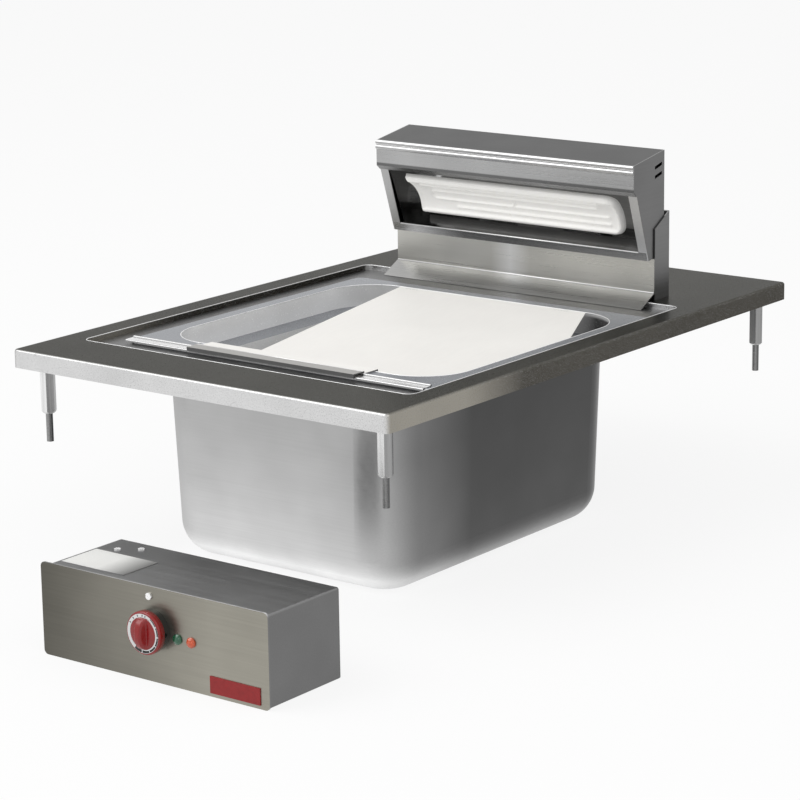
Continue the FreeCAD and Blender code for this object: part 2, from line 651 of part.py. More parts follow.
def hood_top():
    """The hood's roof, back and heel in one bent sheet between the two sides."""
    wall = sizes.hood_sheet
    brow = wall - sizes.brow_reach
    back = sizes.top_back
    points = [side_point(brow, sizes.brow_height), side_point(back, top_back_height),
              side_point(back, heel_height), side_point(sizes.heel_in, heel_low),
              side_point(sizes.heel_in, heel_low + wall * 1.4),
              side_point(back - wall, heel_height + wall / 2),
              side_point(back - wall, top_back_height - wall * 1.2),
              side_point(brow, sizes.brow_height - wall)]
    bent = across("hood_top_sheet", points, sizes.hood_half - wall)
    low = plate_top + heel_low - sizes.overrun
    room = block("hood_lead_room", (gland_x - sizes.lead_gap_width / 2, gland_x + sizes.lead_gap_width / 2),
                 (gland_y - sizes.lead_pitch / 2, support_y + back + sizes.overrun),
                 (low, plate_top + heel_height + sizes.overrun))
    holes = []
    for side, x in both_sides(sizes.spacer_x):
        holes.append(rod("hood_hole_" + side, sizes.screw_radius + sizes.shaft_fit,
                         wall + sizes.overrun * 2, x, support_y + back + sizes.overrun,
                         plate_top + sizes.spacer_height, TO_FRONT))
    return cut("hood_top", bent, [room] + holes)


def hood_fascia():
    """The front strip, with two lengthwise beads above and a return below."""
    wall = sizes.hood_sheet
    front = -sizes.brow_reach
    points = [side_point(front, face_low), side_point(front, sizes.brow_height),
              side_point(front + wall, sizes.brow_height),
              side_point(front + wall, face_low + wall / 2),
              side_point(wall - sizes.mouth_reach, mouth_height + wall / 2),
              side_point(-sizes.mouth_reach, mouth_height)]
    strip = across("fascia_strip", points, sizes.hood_half)
    face_y = support_y + front
    beads = []
    for index in range(2):
        height = plate_top + bead_low + sizes.bead_pitch * index
        bar = rod("fascia_bar_%d" % index, sizes.bead_radius, sizes.hood_half * 2, -sizes.hood_half,
                  face_y + sizes.bead_sink, height, ALONG_X)
        half = block("fascia_half_%d" % index, (-sizes.hood_half, sizes.hood_half),
                     (face_y - sizes.bead_radius, face_y + wall),
                     (height - sizes.bead_radius * 2, plate_top + sizes.brow_height))
        beads.append(common("fascia_bead_%d" % index, bar, half))
    return fuse("hood_fascia", [strip] + beads)


def hood_side(side, low_x, strip_x):
    """One end of the hood, with a folded strip along the mouth and two vent slots."""
    wall = sizes.hood_sheet
    name = "hood_side_" + side
    brow = wall - sizes.brow_reach
    points = [side_point(brow, sizes.brow_height), side_point(sizes.top_back, top_back_height),
              side_point(sizes.top_back, heel_height),
              side_point(sizes.heel_in, heel_low), side_point(-sizes.tip_reach, tip_height),
              side_point(-sizes.lip_reach, lip_height),
              side_point(wall - sizes.mouth_reach, mouth_height + wall / 2),
              side_point(brow, face_low + wall / 2)]
    panel = profile(name + "_panel", "YZ", points, wall, low_x)
    fold = [side_point(-sizes.lip_reach, lip_height),
            side_point(wall - sizes.mouth_reach, mouth_height + wall / 2),
            side_point(wall * 2 - sizes.mouth_reach, mouth_height + wall / 2),
            side_point(wall - sizes.lip_reach, lip_height)]
    strip = profile(name + "_strip", "YZ", fold, sizes.strip_width + wall, strip_x)
    slots = []
    for index in range(2):
        low = slot_low + sizes.slot_pitch * index
        far = sizes.slot_y + sizes.slot_length
        outline = [side_point(sizes.slot_y, low), side_point(far, low + sizes.slot_rise),
                   side_point(far, low + sizes.slot_rise + sizes.slot_width),
                   side_point(sizes.slot_y, low + sizes.slot_width)]
        slots.append(profile("%s_slot_%d" % (name, index), "YZ", outline,
                             wall + sizes.overrun * 2, low_x - sizes.overrun))
    return cut(name, fuse(name + "_sheet", [panel, strip]), slots)


def hood_bottom():
    """The channel under the mouth, with its narrow front face and lip."""
    wall = sizes.hood_sheet
    tip = -sizes.tip_reach
    points = [side_point(-sizes.lip_reach, lip_height), side_point(tip, tip_height),
              side_point(sizes.heel_in, heel_low),
              side_point(sizes.heel_in, heel_low + wall),
              side_point(tip + wall * 0.8, tip_height + wall * 1.2),
              side_point(wall - sizes.lip_reach, lip_height)]
    half = sizes.hood_half - wall
    channel = across("bottom_channel", points, half)
    room = []
    for side, x in (("left", -half), ("right", half - sizes.strip_width)):
        room.append(block("bottom_room_" + side, (x, x + sizes.strip_width),
                          (support_y - sizes.lip_reach - wall, support_y),
                          (plate_top + lip_height, plate_top + mouth_height)))
    return cut("hood_bottom", channel, room)


def foot_bolts():
    """Hexagon bolts through the feet and the plate, with nuts below."""
    bolts = []
    head_under = plate_top + sizes.foot_sheet
    nut_low = plate_under - sizes.bolt_head
    shank_low = nut_low - sizes.overrun
    for side, x in both_sides(sizes.foot_x):
        head = hexagon("bolt_head_" + side, sizes.bolt_flats, sizes.bolt_head, x, foot_bolt_y, head_under)
        shank = rod("bolt_shank_" + side, sizes.bolt_radius, head_under + sizes.bolt_head - shank_low,
                    x, foot_bolt_y, shank_low)
        bolts.append(fuse("bolt_" + side, [head, shank]))
        nut = hexagon("bolt_nut_bar_" + side, sizes.bolt_flats, sizes.bolt_head, x, foot_bolt_y, nut_low)
        bore = rod("bolt_nut_bore_" + side, sizes.bolt_radius + sizes.bolt_fit,
                   sizes.bolt_head + sizes.overrun * 2, x, foot_bolt_y, nut_low - sizes.overrun)
        bolts.append(cut("bolt_nut_" + side, nut, [bore]))
    return group("foot_bolts", bolts)


def reflector():
    """A bent mirror sheet behind the element, with a plate at each end."""
    wall = sizes.reflector_sheet
    face = [side_point(-sizes.mirror_front, mirror_front_height),
            side_point(-sizes.mirror_top, mirror_top_height),
            side_point(sizes.mirror_back, mirror_back_high),
            side_point(sizes.mirror_back, mirror_back_low),
            side_point(-sizes.mirror_low, mirror_low_height)]
    shifts = [(-wall, wall * 0.5), (-wall * 0.5, wall * 1.25), (wall, wall * 0.75),
              (wall, -wall * 0.5), (wall * 0.75, -wall * 0.75)]
    back = []
    for point, shift in zip(face, shifts):
        back.append((point[0] + shift[0], point[1] + shift[1]))
    bent = across("reflector_sheet", face + back[::-1], reflector_half)
    ends = []
    for side, x in (("left", -reflector_half), ("right", reflector_half - wall)):
        ends.append(profile("reflector_end_" + side, "YZ", face, wall, x))
    return fuse("reflector", [bent] + ends)


def heater_element():
    """A ceramic trough: part of a thick tube, ribbed along its hollow face, with a boss behind."""
    outer = sizes.element_radius + sizes.element_wall
    start = -element_half
    length = element_half * 2
    zero = dim(0)
    tube = cut("element_tube", rod("element_outside", outer, length, start, zero, zero, ALONG_X),
               [rod("element_inside", sizes.element_radius, length, start, zero, zero, ALONG_X)])
    half_chord = sizes.element_chord / 2
    window = block("element_window", (start, -start), (-half_chord, half_chord),
                   (-outer - sizes.overrun, -half_chord))
    pieces = [common("element_trough", tube, window)]
    for index in (-2, -1, 0, 1, 2):
        angle = math.radians(sizes.rib_angle.value * index)
        pieces.append(rod("element_rib_%d" % (index + 2), sizes.rib_radius, length, start,
                          sizes.element_radius * math.sin(angle), -sizes.element_radius * math.cos(angle),
                          ALONG_X))
    boss_low = -outer - sizes.boss_depth + sizes.element_wall / 2
    pieces.append(block("element_boss", (-sizes.boss_length / 2, sizes.boss_length / 2),
                        (-sizes.boss_width / 2, sizes.boss_width / 2),
                        (boss_low, sizes.element_wall / 2 - outer)))
    element = fuse("heater_element", pieces)
    turn = FreeCAD.Rotation(FreeCAD.Vector(1, 0, 0), sizes.element_turn.value)
    y, z = side_point(-sizes.element_reach, element_height)
    return put(element, sizes.element_x, y, z, turn)


def heater_clips():
    """Two plates that reach from the reflector to the back of the element."""
    y, z = side_point(-sizes.element_reach, element_height)
    outer = sizes.element_radius + sizes.element_wall
    lean = math.radians(sizes.element_turn.value - 90)
    start = y + outer * math.cos(lean) + sizes.clip_gap
    height = z + outer * math.sin(lean)
    clips = []
    for side, x in (("left", sizes.element_x - sizes.clip_x), ("right", sizes.element_x + sizes.clip_x)):
        clips.append(block("clip_" + side, (x - sizes.clip_width / 2, x + sizes.clip_width / 2),
                           (start, support_y + sizes.mirror_back),
                           (height - sizes.clip_sheet / 2, height + sizes.clip_sheet / 2)))
    return group("heater_clips", clips)


def heater_terminal():
    y, z = side_point(sizes.terminal_y, sizes.terminal_low)
    return block("heater_terminal", (-sizes.terminal_half, sizes.terminal_half),
                 (y, y + sizes.terminal_depth), (z, z + sizes.terminal_height))


def heater_leads():
    """Two leads from the terminal along the hood's back and down into the support's gland."""
    leads = []
    for index in range(2):
        height = plate_top + sizes.lead_top - sizes.lead_step * index
        x = sizes.lead_x + sizes.lead_pitch / 2 - sizes.lead_pitch * index
        level = rod("lead_level_%d" % index, sizes.lead_radius, x - sizes.lead_start, sizes.lead_start,
                    lead_y, height, ALONG_X)
        drop = rod("lead_drop_%d" % index, sizes.lead_radius, height - sizes.lead_drop, x, lead_y,
                   sizes.lead_drop)
        leads.append(fuse("lead_%d" % index, [level, drop]))
    return group("heater_leads", leads)


def lead_conduit():
    low = plate_top + sizes.gland_nut
    pipe = rod("conduit_pipe", sizes.conduit_radius, sizes.conduit_height, gland_x, gland_y, low)
    bore = rod("conduit_bore", sizes.conduit_radius - sizes.conduit_wall,
               sizes.conduit_height + sizes.overrun * 2, gland_x, gland_y, low - sizes.overrun)
    return cut("lead_conduit", pipe, [bore])


def support_gland():
    """The gland under the plate, with its thread standing up through the plate."""
    hex_low = plate_under - sizes.gland_body
    dome_low = hex_low - sizes.gland_dome
    top = plate_top + sizes.gland_nut
    pieces = [rod("gland_thread", sizes.gland_thread, top - hex_low, gland_x, gland_y, hex_low),
              hexagon("gland_hexagon", sizes.gland_flats, sizes.gland_body, gland_x, gland_y, hex_low),
              rod("gland_dome", sizes.gland_dome_radius, sizes.gland_dome, gland_x, gland_y, dome_low)]
    bore = rod("gland_bore", sizes.gland_bore, top - dome_low + sizes.overrun * 2, gland_x, gland_y,
               dome_low - sizes.overrun)
    return cut("support_gland", fuse("gland_outside", pieces), [bore])


def gland_locknut():
    nut = hexagon("gland_nut_bar", sizes.gland_flats, sizes.gland_nut, gland_x, gland_y, plate_top)
    bore = rod("gland_nut_bore", sizes.gland_thread + sizes.gland_fit,
               sizes.gland_nut + sizes.overrun * 2, gland_x, gland_y, plate_top - sizes.overrun)
    return cut("gland_locknut", nut, [bore])


def both_sides(x):
    return (("left", -x), ("right", x))


def forward_rod(name, radius, x, z, back, front):
    """A round bar along Y between two depths."""
    return rod(name, radius, back - front, x, back, z, TO_FRONT)


def forward_ring(name, outer, inner, x, z, back, front):
    over = sizes.overrun
    return cut(name, forward_rod(name + "_round", outer, x, z, back, front),
               [forward_rod(name + "_bore", inner, x, z, back + over, front - over)])


def forward_nut(name, flats, inner, x, z, back, front):
    over = sizes.overrun
    return cut(name, hexagon(name + "_bar", flats, back - front, x, back, z, TO_FRONT),
               [forward_rod(name + "_bore", inner, x, z, back + over, front - over)])


def hood_spacers():
    """Round spacers between the hood's back and the support cover."""
    height = plate_top + sizes.spacer_height
    spacers = []
    for side, x in both_sides(sizes.spacer_x):
        spacers.append(forward_ring("spacer_" + side, sizes.spacer_radius,
                                    sizes.screw_radius + sizes.shaft_fit, x, height, foot_back,
                                    support_y + sizes.top_back))
    return group("hood_spacers", spacers)


def hood_screws():
    """Screws from behind the cover into nuts inside the hood's back."""
    height = plate_top + sizes.spacer_height
    back = support_y + sizes.support_depth
    nut_back = support_y + sizes.top_back - sizes.hood_sheet
    nut_front = nut_back - sizes.screw_nut
    screws = []
    for side, x in both_sides(sizes.spacer_x):
        head = forward_rod("screw_head_" + side, sizes.screw_head_radius, x, height,
                           back + sizes.screw_head, back)
        shank = forward_rod("screw_shank_" + side, sizes.screw_radius, x, height,
                            back + sizes.screw_head, nut_front)
        screws.append(fuse("screw_" + side, [head, shank]))
        screws.append(forward_nut("screw_nut_" + side, sizes.screw_nut_flats,
                                  sizes.screw_radius + sizes.shaft_fit, x, height, nut_back, nut_front))
    return group("hood_screws", screws)


# Levels and places of the control box
panel_back = sizes.panel_y + sizes.panel_sheet
box_back = panel_back + sizes.box_depth
box_left = sizes.panel_left + sizes.panel_lap
box_right = sizes.panel_right - sizes.panel_lap
box_top = ground + sizes.panel_high - sizes.panel_lap
cover_back = box_back + sizes.box_sheet
knob_z = ground + sizes.knob_height
skirt_back = sizes.panel_y - sizes.bezel_thick - sizes.knob_gap
skirt_front = skirt_back - sizes.knob_skirt
lamp_z = ground + sizes.lamp_height


def face_plate(name, x_span, z_span, back, thick, corner=None):
    """A flat plate that faces the front, from its back face forwards, with round corners."""
    points = [(x_span[0], z_span[0]), (x_span[1], z_span[0]), (x_span[1], z_span[1]),
              (x_span[0], z_span[1])]
    body = profile(name, "XZ", points, thick, -back)
    if corner is not None:
        soften(body, "corners", corner, runs_back)
    return body


def lamp_places():
    return (("green", sizes.lamp_x), ("orange", sizes.lamp_x + sizes.lamp_pitch))


def control_panel():
    plate = face_plate("panel_plate", (sizes.panel_left, sizes.panel_right),
                       (ground, ground + sizes.panel_high), panel_back, sizes.panel_sheet,
                       sizes.panel_corner)
    over = sizes.overrun
    back = panel_back + over
    front = sizes.panel_y - over
    holes = [forward_rod("panel_knob_hole", sizes.bushing_radius + sizes.bushing_fit, sizes.knob_x,
                         knob_z, back, front),
             forward_rod("panel_screw_hole", sizes.small_screw + sizes.small_fit, sizes.screw_x,
                         ground + sizes.screw_height, back, front)]
    for name, x in lamp_places():
        holes.append(forward_rod("panel_hole_" + name, sizes.lamp_radius + sizes.lamp_fit, x, lamp_z,
                                 back, front))
    return cut("control_panel", plate, holes)


def control_shell():
    """The folded sleeve behind the panel, open in front and behind."""
    wall = sizes.box_sheet
    outside = face_plate("shell_outside", (box_left, box_right), (ground, box_top), box_back,
                         sizes.box_depth, sizes.box_round)
    room = face_plate("shell_room", (box_left + wall, box_right - wall), (ground + wall, box_top - wall),
                      box_back + sizes.overrun, sizes.box_depth + sizes.overrun * 2)
    holes = []
    for index, (x, y) in enumerate(top_screw_places()):
        holes.append(rod("shell_hole_%d" % index, sizes.small_screw + sizes.small_fit,
                         wall + sizes.overrun * 2, x, y, box_top - wall - sizes.overrun))
    return cut("control_shell", outside, [room] + holes)


def top_screw_places():
    x = sizes.top_screw_x
    y = box_back - sizes.top_screw_back
    return [(x, y), (x + sizes.top_screw_step, y + sizes.top_screw_rise)]


def rear_gland_places():
    z = ground + sizes.rear_gland_height
    return [(sizes.rear_gland_x, z), (sizes.rear_gland_x + sizes.rear_gland_pitch, z)]


def control_rear_cover():
    plate = face_plate("rear_plate", (box_left, box_right), (ground, box_top), cover_back,
                       sizes.box_sheet, sizes.box_round)
    holes = []
    for index, (x, z) in enumerate(rear_gland_places()):
        holes.append(forward_rod("rear_hole_%d" % index, sizes.gland_thread + sizes.gland_fit, x, z,
                                 cover_back + sizes.overrun, box_back - sizes.overrun))
    return cut("control_rear_cover", plate, holes)


def box_glands():
    """Two cable glands in the rear cover, each with its nut inside the box."""
    glands = []
    for index, (x, z) in enumerate(rear_gland_places()):
        name = "box_gland_%d" % index
        inside = box_back - sizes.gland_nut
        hex_back = cover_back + sizes.gland_body
        dome_back = hex_back + sizes.gland_dome
        pieces = [forward_rod(name + "_thread", sizes.gland_thread, x, z, hex_back, inside),
                  hexagon(name + "_hexagon", sizes.gland_flats, sizes.gland_body, x, hex_back, z, TO_FRONT),
                  forward_rod(name + "_dome", sizes.gland_dome_radius, x, z, dome_back, hex_back)]
        bore = forward_rod(name + "_bore", sizes.gland_bore, x, z, dome_back + sizes.overrun,
                           inside - sizes.overrun)
        glands.append(cut(name, fuse(name + "_outside", pieces), [bore]))
        glands.append(forward_nut(name + "_nut", sizes.gland_flats, sizes.gland_thread + sizes.gland_fit,
                                  x, z, box_back, inside))
    return group("box_glands", glands)


def dial_bezel():
    """The dark collar on the panel that the knob turns in front of."""
    return forward_ring("dial_bezel", sizes.bezel_radius, sizes.bezel_radius - sizes.bezel_wall,
                        sizes.knob_x, knob_z, sizes.panel_y, sizes.panel_y - sizes.bezel_thick)


def scale_ring():
    """The pale ring let into the front of the knob."""
    return forward_ring("scale_ring", sizes.ring_outer, sizes.ring_inner, sizes.knob_x, knob_z,
                        skirt_front + sizes.ring_sink, skirt_front - sizes.ring_proud)


def control_knob():
    """A skirt disc with a low dome, a rounded grip across it and a hub behind."""
    skirt = forward_rod("knob_skirt", sizes.knob_radius, sizes.knob_x, knob_z, skirt_back,
                        skirt_front + sizes.knob_edge)
    bevel = doc.addObject("Part::Cone", "knob_bevel")
    bind(bevel, "Radius1", sizes.knob_radius)
    bind(bevel, "Radius2", sizes.knob_radius - sizes.knob_edge)
    bind(bevel, "Height", sizes.knob_edge)
    put(bevel, sizes.knob_x, skirt_front + sizes.knob_edge, knob_z, TO_FRONT)
    groove = forward_ring("knob_groove", sizes.ring_outer + sizes.ring_fit,
                          sizes.ring_inner - sizes.ring_fit, sizes.knob_x, knob_z,
                          skirt_front + sizes.ring_sink, skirt_front - sizes.overrun)
    ball_radius = (sizes.dome_radius * sizes.dome_radius
                   + sizes.dome_rise * sizes.dome_rise) / (sizes.dome_rise * 2)
    ball = doc.addObject("Part::Sphere", "knob_ball")
    bind(ball, "Radius", ball_radius)
    put(ball, sizes.knob_x, skirt_front + ball_radius - sizes.dome_rise, knob_z)
    grip_front = skirt_front - sizes.grip_rise
    limit = forward_rod("knob_dome_limit", sizes.dome_radius, sizes.knob_x, knob_z,
                        skirt_front + sizes.knob_edge, grip_front)
    dome = common("knob_dome", ball, limit)
    half = sizes.grip_width / 2
    tall = sizes.dome_radius - sizes.grip_inset
    grip = profile("knob_grip", "XY", [(sizes.knob_x - half, grip_front),
                                       (sizes.knob_x + half, grip_front),
                                       (sizes.knob_x + half, skirt_front + sizes.knob_edge),
                                       (sizes.knob_x - half, skirt_front + sizes.knob_edge)],
                   tall * 2, knob_z - tall)
    soften(grip, "edges", sizes.grip_corner, on_front)
    hub = forward_rod("knob_hub", sizes.knob_hub, sizes.knob_x, knob_z,
                      sizes.panel_y - sizes.bushing_reach - sizes.knob_hub_gap, skirt_back)
    bore = forward_rod("knob_bore", sizes.shaft_radius + sizes.shaft_fit, sizes.knob_x, knob_z,
                       sizes.panel_y, sizes.panel_y - sizes.shaft_reach)
    outside = fuse("knob_outside", [skirt, bevel, common("knob_grip_round", grip, limit), dome, hub])
    return cut("control_knob", outside, [groove, bore])


def regulator_shaft():
    return forward_rod("regulator_shaft", sizes.shaft_radius, sizes.knob_x, knob_z,
                       panel_back + sizes.shaft_back, sizes.panel_y - sizes.shaft_reach)


def regulator_body():
    """The power regulator behind the panel, with the threaded bushing that holds it."""
    half = sizes.regulator_width / 2
    tall = sizes.regulator_height / 2
    housing = block("regulator_housing", (sizes.knob_x - half, sizes.knob_x + half),
                    (panel_back, panel_back + sizes.regulator_depth), (knob_z - tall, knob_z + tall))
    bushing_front = sizes.panel_y - sizes.bushing_reach
    bushing = forward_rod("regulator_bushing", sizes.bushing_radius, sizes.knob_x, knob_z,
                          panel_back + sizes.overrun, bushing_front)
    bore = forward_rod("regulator_bore", sizes.shaft_radius + sizes.shaft_fit, sizes.knob_x, knob_z,
                       panel_back + sizes.shaft_back + sizes.overrun, bushing_front - sizes.overrun)
    return cut("regulator_body", fuse("regulator_outside", [housing, bushing]), [bore])


def regulator_nut():
    return forward_nut("regulator_nut", sizes.nut_flats, sizes.bushing_radius + sizes.bushing_fit,
                       sizes.knob_x, knob_z, sizes.panel_y, sizes.panel_y - sizes.nut_thick)


def lamp(name, x):
    """A pilot lamp: a domed lens on a collar, and a tube back through the panel."""
    node = name + "_lamp"
    collar_front = sizes.panel_y - sizes.lens_collar
    collar = forward_rod(node + "_collar", sizes.lens_radius, x, lamp_z, sizes.panel_y, collar_front)
    tube = forward_rod(node + "_tube", sizes.lamp_radius, x, lamp_z, panel_back + sizes.lamp_back,
                       collar_front)
    radius = (sizes.lens_radius * sizes.lens_radius
              + sizes.lens_dome * sizes.lens_dome) / (sizes.lens_dome * 2)
    ball = doc.addObject("Part::Sphere", node + "_ball")
    bind(ball, "Radius", radius)
    put(ball, x, collar_front + radius - sizes.lens_dome, lamp_z)
    limit = forward_rod(node + "_limit", sizes.lens_radius + sizes.overrun, x, lamp_z, collar_front,
                        collar_front - sizes.lens_dome - sizes.overrun)
    return fuse(node, [collar, tube, common(node + "_dome", ball, limit)])


def lamp_holders():
    rings = []
    for name, x in lamp_places():
        rings.append(forward_ring("holder_" + name, sizes.holder_radius,
                                  sizes.lamp_radius + sizes.lamp_fit, x, lamp_z,
                                  panel_back + sizes.holder_depth, panel_back))
    return group("lamp_holders", rings)


def panel_screw():
    """A slotted screw near the panel's top edge."""
    x = sizes.screw_x
    z = ground + sizes.screw_height
    front = sizes.panel_y - sizes.small_head_thick
    head = forward_rod("panel_screw_head", sizes.small_head, x, z, sizes.panel_y, front)
    shank = forward_rod("panel_screw_shank", sizes.small_screw, x, z, sizes.panel_y + sizes.small_reach,
                        front)
    slot = block("panel_screw_slot", (x - sizes.small_head, x + sizes.small_head),
                 (front - sizes.overrun, front + sizes.slot_cut),
                 (z - sizes.slot_cut / 2, z + sizes.slot_cut / 2))
    return cut("panel_screw", fuse("panel_screw_outside", [head, shank]), [slot])


def top_screws():
    """Two small slotted screws down through the box's top."""
    screws = []
    top = box_top + sizes.small_head_thick
    for index, (x, y) in enumerate(top_screw_places()):
        name = "top_screw_%d" % index
        head = rod(name + "_head", sizes.small_head, sizes.small_head_thick, x, y, box_top)
        shank = rod(name + "_shank", sizes.small_screw, sizes.small_reach + sizes.small_head_thick, x, y,
                    box_top - sizes.small_reach)
        slot = block(name + "_slot", (x - sizes.small_head, x + sizes.small_head),
                     (y - sizes.slot_cut / 2, y + sizes.slot_cut / 2),
                     (top - sizes.slot_cut, top + sizes.overrun))
        screws.append(cut(name, fuse(name + "_outside", [head, shank]), [slot]))
    return group("top_screws", screws)


def badge_plate():
    low = ground + sizes.badge_low
    return face_plate("badge_plate", (sizes.badge_left, sizes.badge_left + sizes.badge_width),
                      (low, low + sizes.badge_high), sizes.panel_y, sizes.badge_thick)


def rating_plate():
    x = sizes.panel_left + sizes.rating_left
    y = sizes.panel_y + sizes.rating_front
    return block("rating_plate", (x, x + sizes.rating_width), (y, y + sizes.rating_deep),
                 (box_top, box_top + sizes.rating_thick))


def terminal_block():
    floor = ground + sizes.box_sheet
    back = box_back - sizes.block_back
    return block("terminal_block", (sizes.block_left, sizes.block_left + sizes.block_width),
                 (back - sizes.block_deep, back), (floor, floor + sizes.block_high))


nodes = [
    top_plate(), stud_sleeves(), stud_pins(), well_tank(), gn_pan(), rim_rail(), chip_tray(),
    support_front(), support_cover(), support_feet(), foot_bolts(), hood_top(), hood_fascia(),
    hood_side("left", -sizes.hood_half, -sizes.hood_half),
    hood_side("right", sizes.hood_half - sizes.hood_sheet,
              sizes.hood_half - sizes.hood_sheet - sizes.strip_width),
    hood_bottom(), reflector(), heater_element(), heater_clips(), heater_terminal(), heater_leads(),
    lead_conduit(), support_gland(), gland_locknut(), hood_spacers(), hood_screws(), control_panel(),
    control_shell(), control_rear_cover(), box_glands(), dial_bezel(), scale_ring(), control_knob(),
    regulator_shaft(), regulator_body(), regulator_nut(),
    lamp("green", sizes.lamp_x), lamp("orange", sizes.lamp_x + sizes.lamp_pitch), lamp_holders(),
    panel_screw(), top_screws(), badge_plate(), rating_plate(), terminal_block(),
]
for node in nodes:
    node.Label = node.Name
doc.recompute()
for thing in doc.Objects:
    if "Invalid" in thing.State or "Error" in thing.State:
        raise RuntimeError("not built: %s %s" % (thing.Name, thing.State))
for node in nodes:
    if node.Shape.isNull() or not node.Shape.isValid():
        raise RuntimeError("bad shape: " + node.Name)

os.makedirs("parts", exist_ok=True)
for node in nodes:
    node.Shape.exportStep("parts/" + node.Label + ".step")
    print(node.Label, round(node.Shape.Volume, 1), len(node.Shape.Solids))
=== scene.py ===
import math

import bmesh
import bpy
from mathutils import Matrix, Vector

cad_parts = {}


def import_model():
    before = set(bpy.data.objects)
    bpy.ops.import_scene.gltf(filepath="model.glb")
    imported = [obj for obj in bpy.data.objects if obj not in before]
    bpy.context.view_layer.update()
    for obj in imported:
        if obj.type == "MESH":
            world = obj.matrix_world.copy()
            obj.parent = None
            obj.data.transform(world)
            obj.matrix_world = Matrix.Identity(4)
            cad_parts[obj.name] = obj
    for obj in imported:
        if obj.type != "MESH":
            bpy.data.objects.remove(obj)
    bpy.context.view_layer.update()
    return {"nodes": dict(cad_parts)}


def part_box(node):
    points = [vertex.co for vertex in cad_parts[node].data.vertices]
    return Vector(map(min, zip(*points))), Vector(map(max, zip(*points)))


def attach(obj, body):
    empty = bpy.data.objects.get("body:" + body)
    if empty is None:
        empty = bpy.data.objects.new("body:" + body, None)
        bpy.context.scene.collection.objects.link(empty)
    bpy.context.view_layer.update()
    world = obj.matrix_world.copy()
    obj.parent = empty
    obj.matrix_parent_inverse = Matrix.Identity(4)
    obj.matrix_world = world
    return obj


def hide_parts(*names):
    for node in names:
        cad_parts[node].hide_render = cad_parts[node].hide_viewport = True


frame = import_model()
nodes = frame["nodes"]

# Lengths and places are in metres. Tones are 8-bit display values, grey or three channels.
WHITE = (1.0, 1.0, 1.0, 1.0)
KNOB_X, KNOB_Z = 0.1055, -0.1285


def linear(tone):
    """An 8-bit display tone, grey or three channels, as linear red, green and blue."""
    parts = tone if isinstance(tone, tuple) else (tone, tone, tone)
    out = []
    for part in parts:
        share = part / 255.0
        out.append(share / 12.92 if share < 0.04045 else ((share + 0.055) / 1.055) ** 2.4)
    return tuple(out)


class Tree:
    """The node tree of a material or a world, built up node by node."""

    def __init__(self, owner):
        owner.use_nodes = True
        self.tree = owner.node_tree
        self.tree.nodes.clear()

    def feed(self, node, socket, value):
        """Link a socket to an input, or write a constant on it."""
        if isinstance(value, bpy.types.NodeSocket):
            self.tree.links.new(value, node.inputs[socket])
        else:
            node.inputs[socket].default_value = value

    def add(self, kind, inputs=(), **facts):
        node = self.tree.nodes.new(kind)
        for key, value in facts.items():
            setattr(node, key, value)
        for socket, value in dict(inputs).items():
            self.feed(node, socket, value)
        return node

    def maths(self, operation, first, second=0.0):
        return self.add("ShaderNodeMath", {0: first, 1: second}, operation=operation).outputs[0]

    def seen(self):
        """One where a ray comes from the camera or from a shiny or clear surface."""
        path = self.add("ShaderNodeLightPath").outputs
        shiny = self.maths("MAXIMUM", path["Is Glossy Ray"], path["Is Transmission Ray"])
        return self.maths("MAXIMUM", path["Is Camera Ray"], shiny)


class Net(Tree):
    """A material's node tree, with the operations that the tones are made of."""

    def __init__(self, name):
        self.material = bpy.data.materials.new(name)
        super().__init__(self.material)
        self.output = self.tree.nodes.new("ShaderNodeOutputMaterial")
        self.place = self.tree.nodes.new("ShaderNodeTexCoord").outputs

    def vector(self, operation, inputs):
        return self.add("ShaderNodeVectorMath", inputs, operation=operation).outputs[0]

    def scaled(self, vector, factor):
        return self.vector("SCALE", {0: vector, "Scale": factor})

    def plus(self, first, second):
        return self.vector("ADD", {0: first, 1: second})

    def span(self, value, low, high, first, last):
        """A value between low and high, moved to between first and last and held beyond."""
        inputs = {"Value": value, "From Min": low, "From Max": high, "To Min": first,
                  "To Max": last}
        return self.add("ShaderNodeMapRange", inputs).outputs[0]

    def ramp(self, axis, low, high, first, last):
        """A factor that goes from first to last between two places on an axis."""
        return self.span(self.coordinate(axis), low, high, first, last)

    def swing(self, noise, amount):
        """A factor that a noise moves by an amount to either side of one."""
        return self.span(noise, 0.25, 0.75, 1.0 - amount, 1.0 + amount)

    def noise(self, stretch, detail=3.0):
        moved = self.add("ShaderNodeMapping", {"Vector": self.place["Object"], "Scale": stretch})
        inputs = {"Vector": moved.outputs[0], "Scale": 1.0, "Detail": detail, "Roughness": 0.6}
        return self.add("ShaderNodeTexNoise", inputs).outputs[0]

    def mixed(self, factor, first, second):
        node = self.add("ShaderNodeMix", {0: factor}, data_type="RGBA")
        for socket, value in ((6, first), (7, second)):
            linked = isinstance(value, bpy.types.NodeSocket)
            self.feed(node, socket, value if linked else tuple(value) + (1.0,))
        return node.outputs[2]

    def coordinate(self, axis):
        split = self.add("ShaderNodeSeparateXYZ", {0: self.place["Object"]})
        return split.outputs["xyz".index(axis)]

    def facing(self):
        """Squared parts of the surface's direction: across, along and up."""
        normal = self.place["Normal"]
        squared = self.vector("MULTIPLY", {0: normal, 1: normal})
        return self.add("ShaderNodeSeparateXYZ", {0: squared}).outputs

    def bumped(self, height, strength):
        inputs = {"Height": height, "Strength": strength, "Distance": 0.0004}
        return self.add("ShaderNodeBump", inputs).outputs[0]

    def close(self, shader):
        self.tree.links.new(shader, self.output.inputs["Surface"])
        return self.material


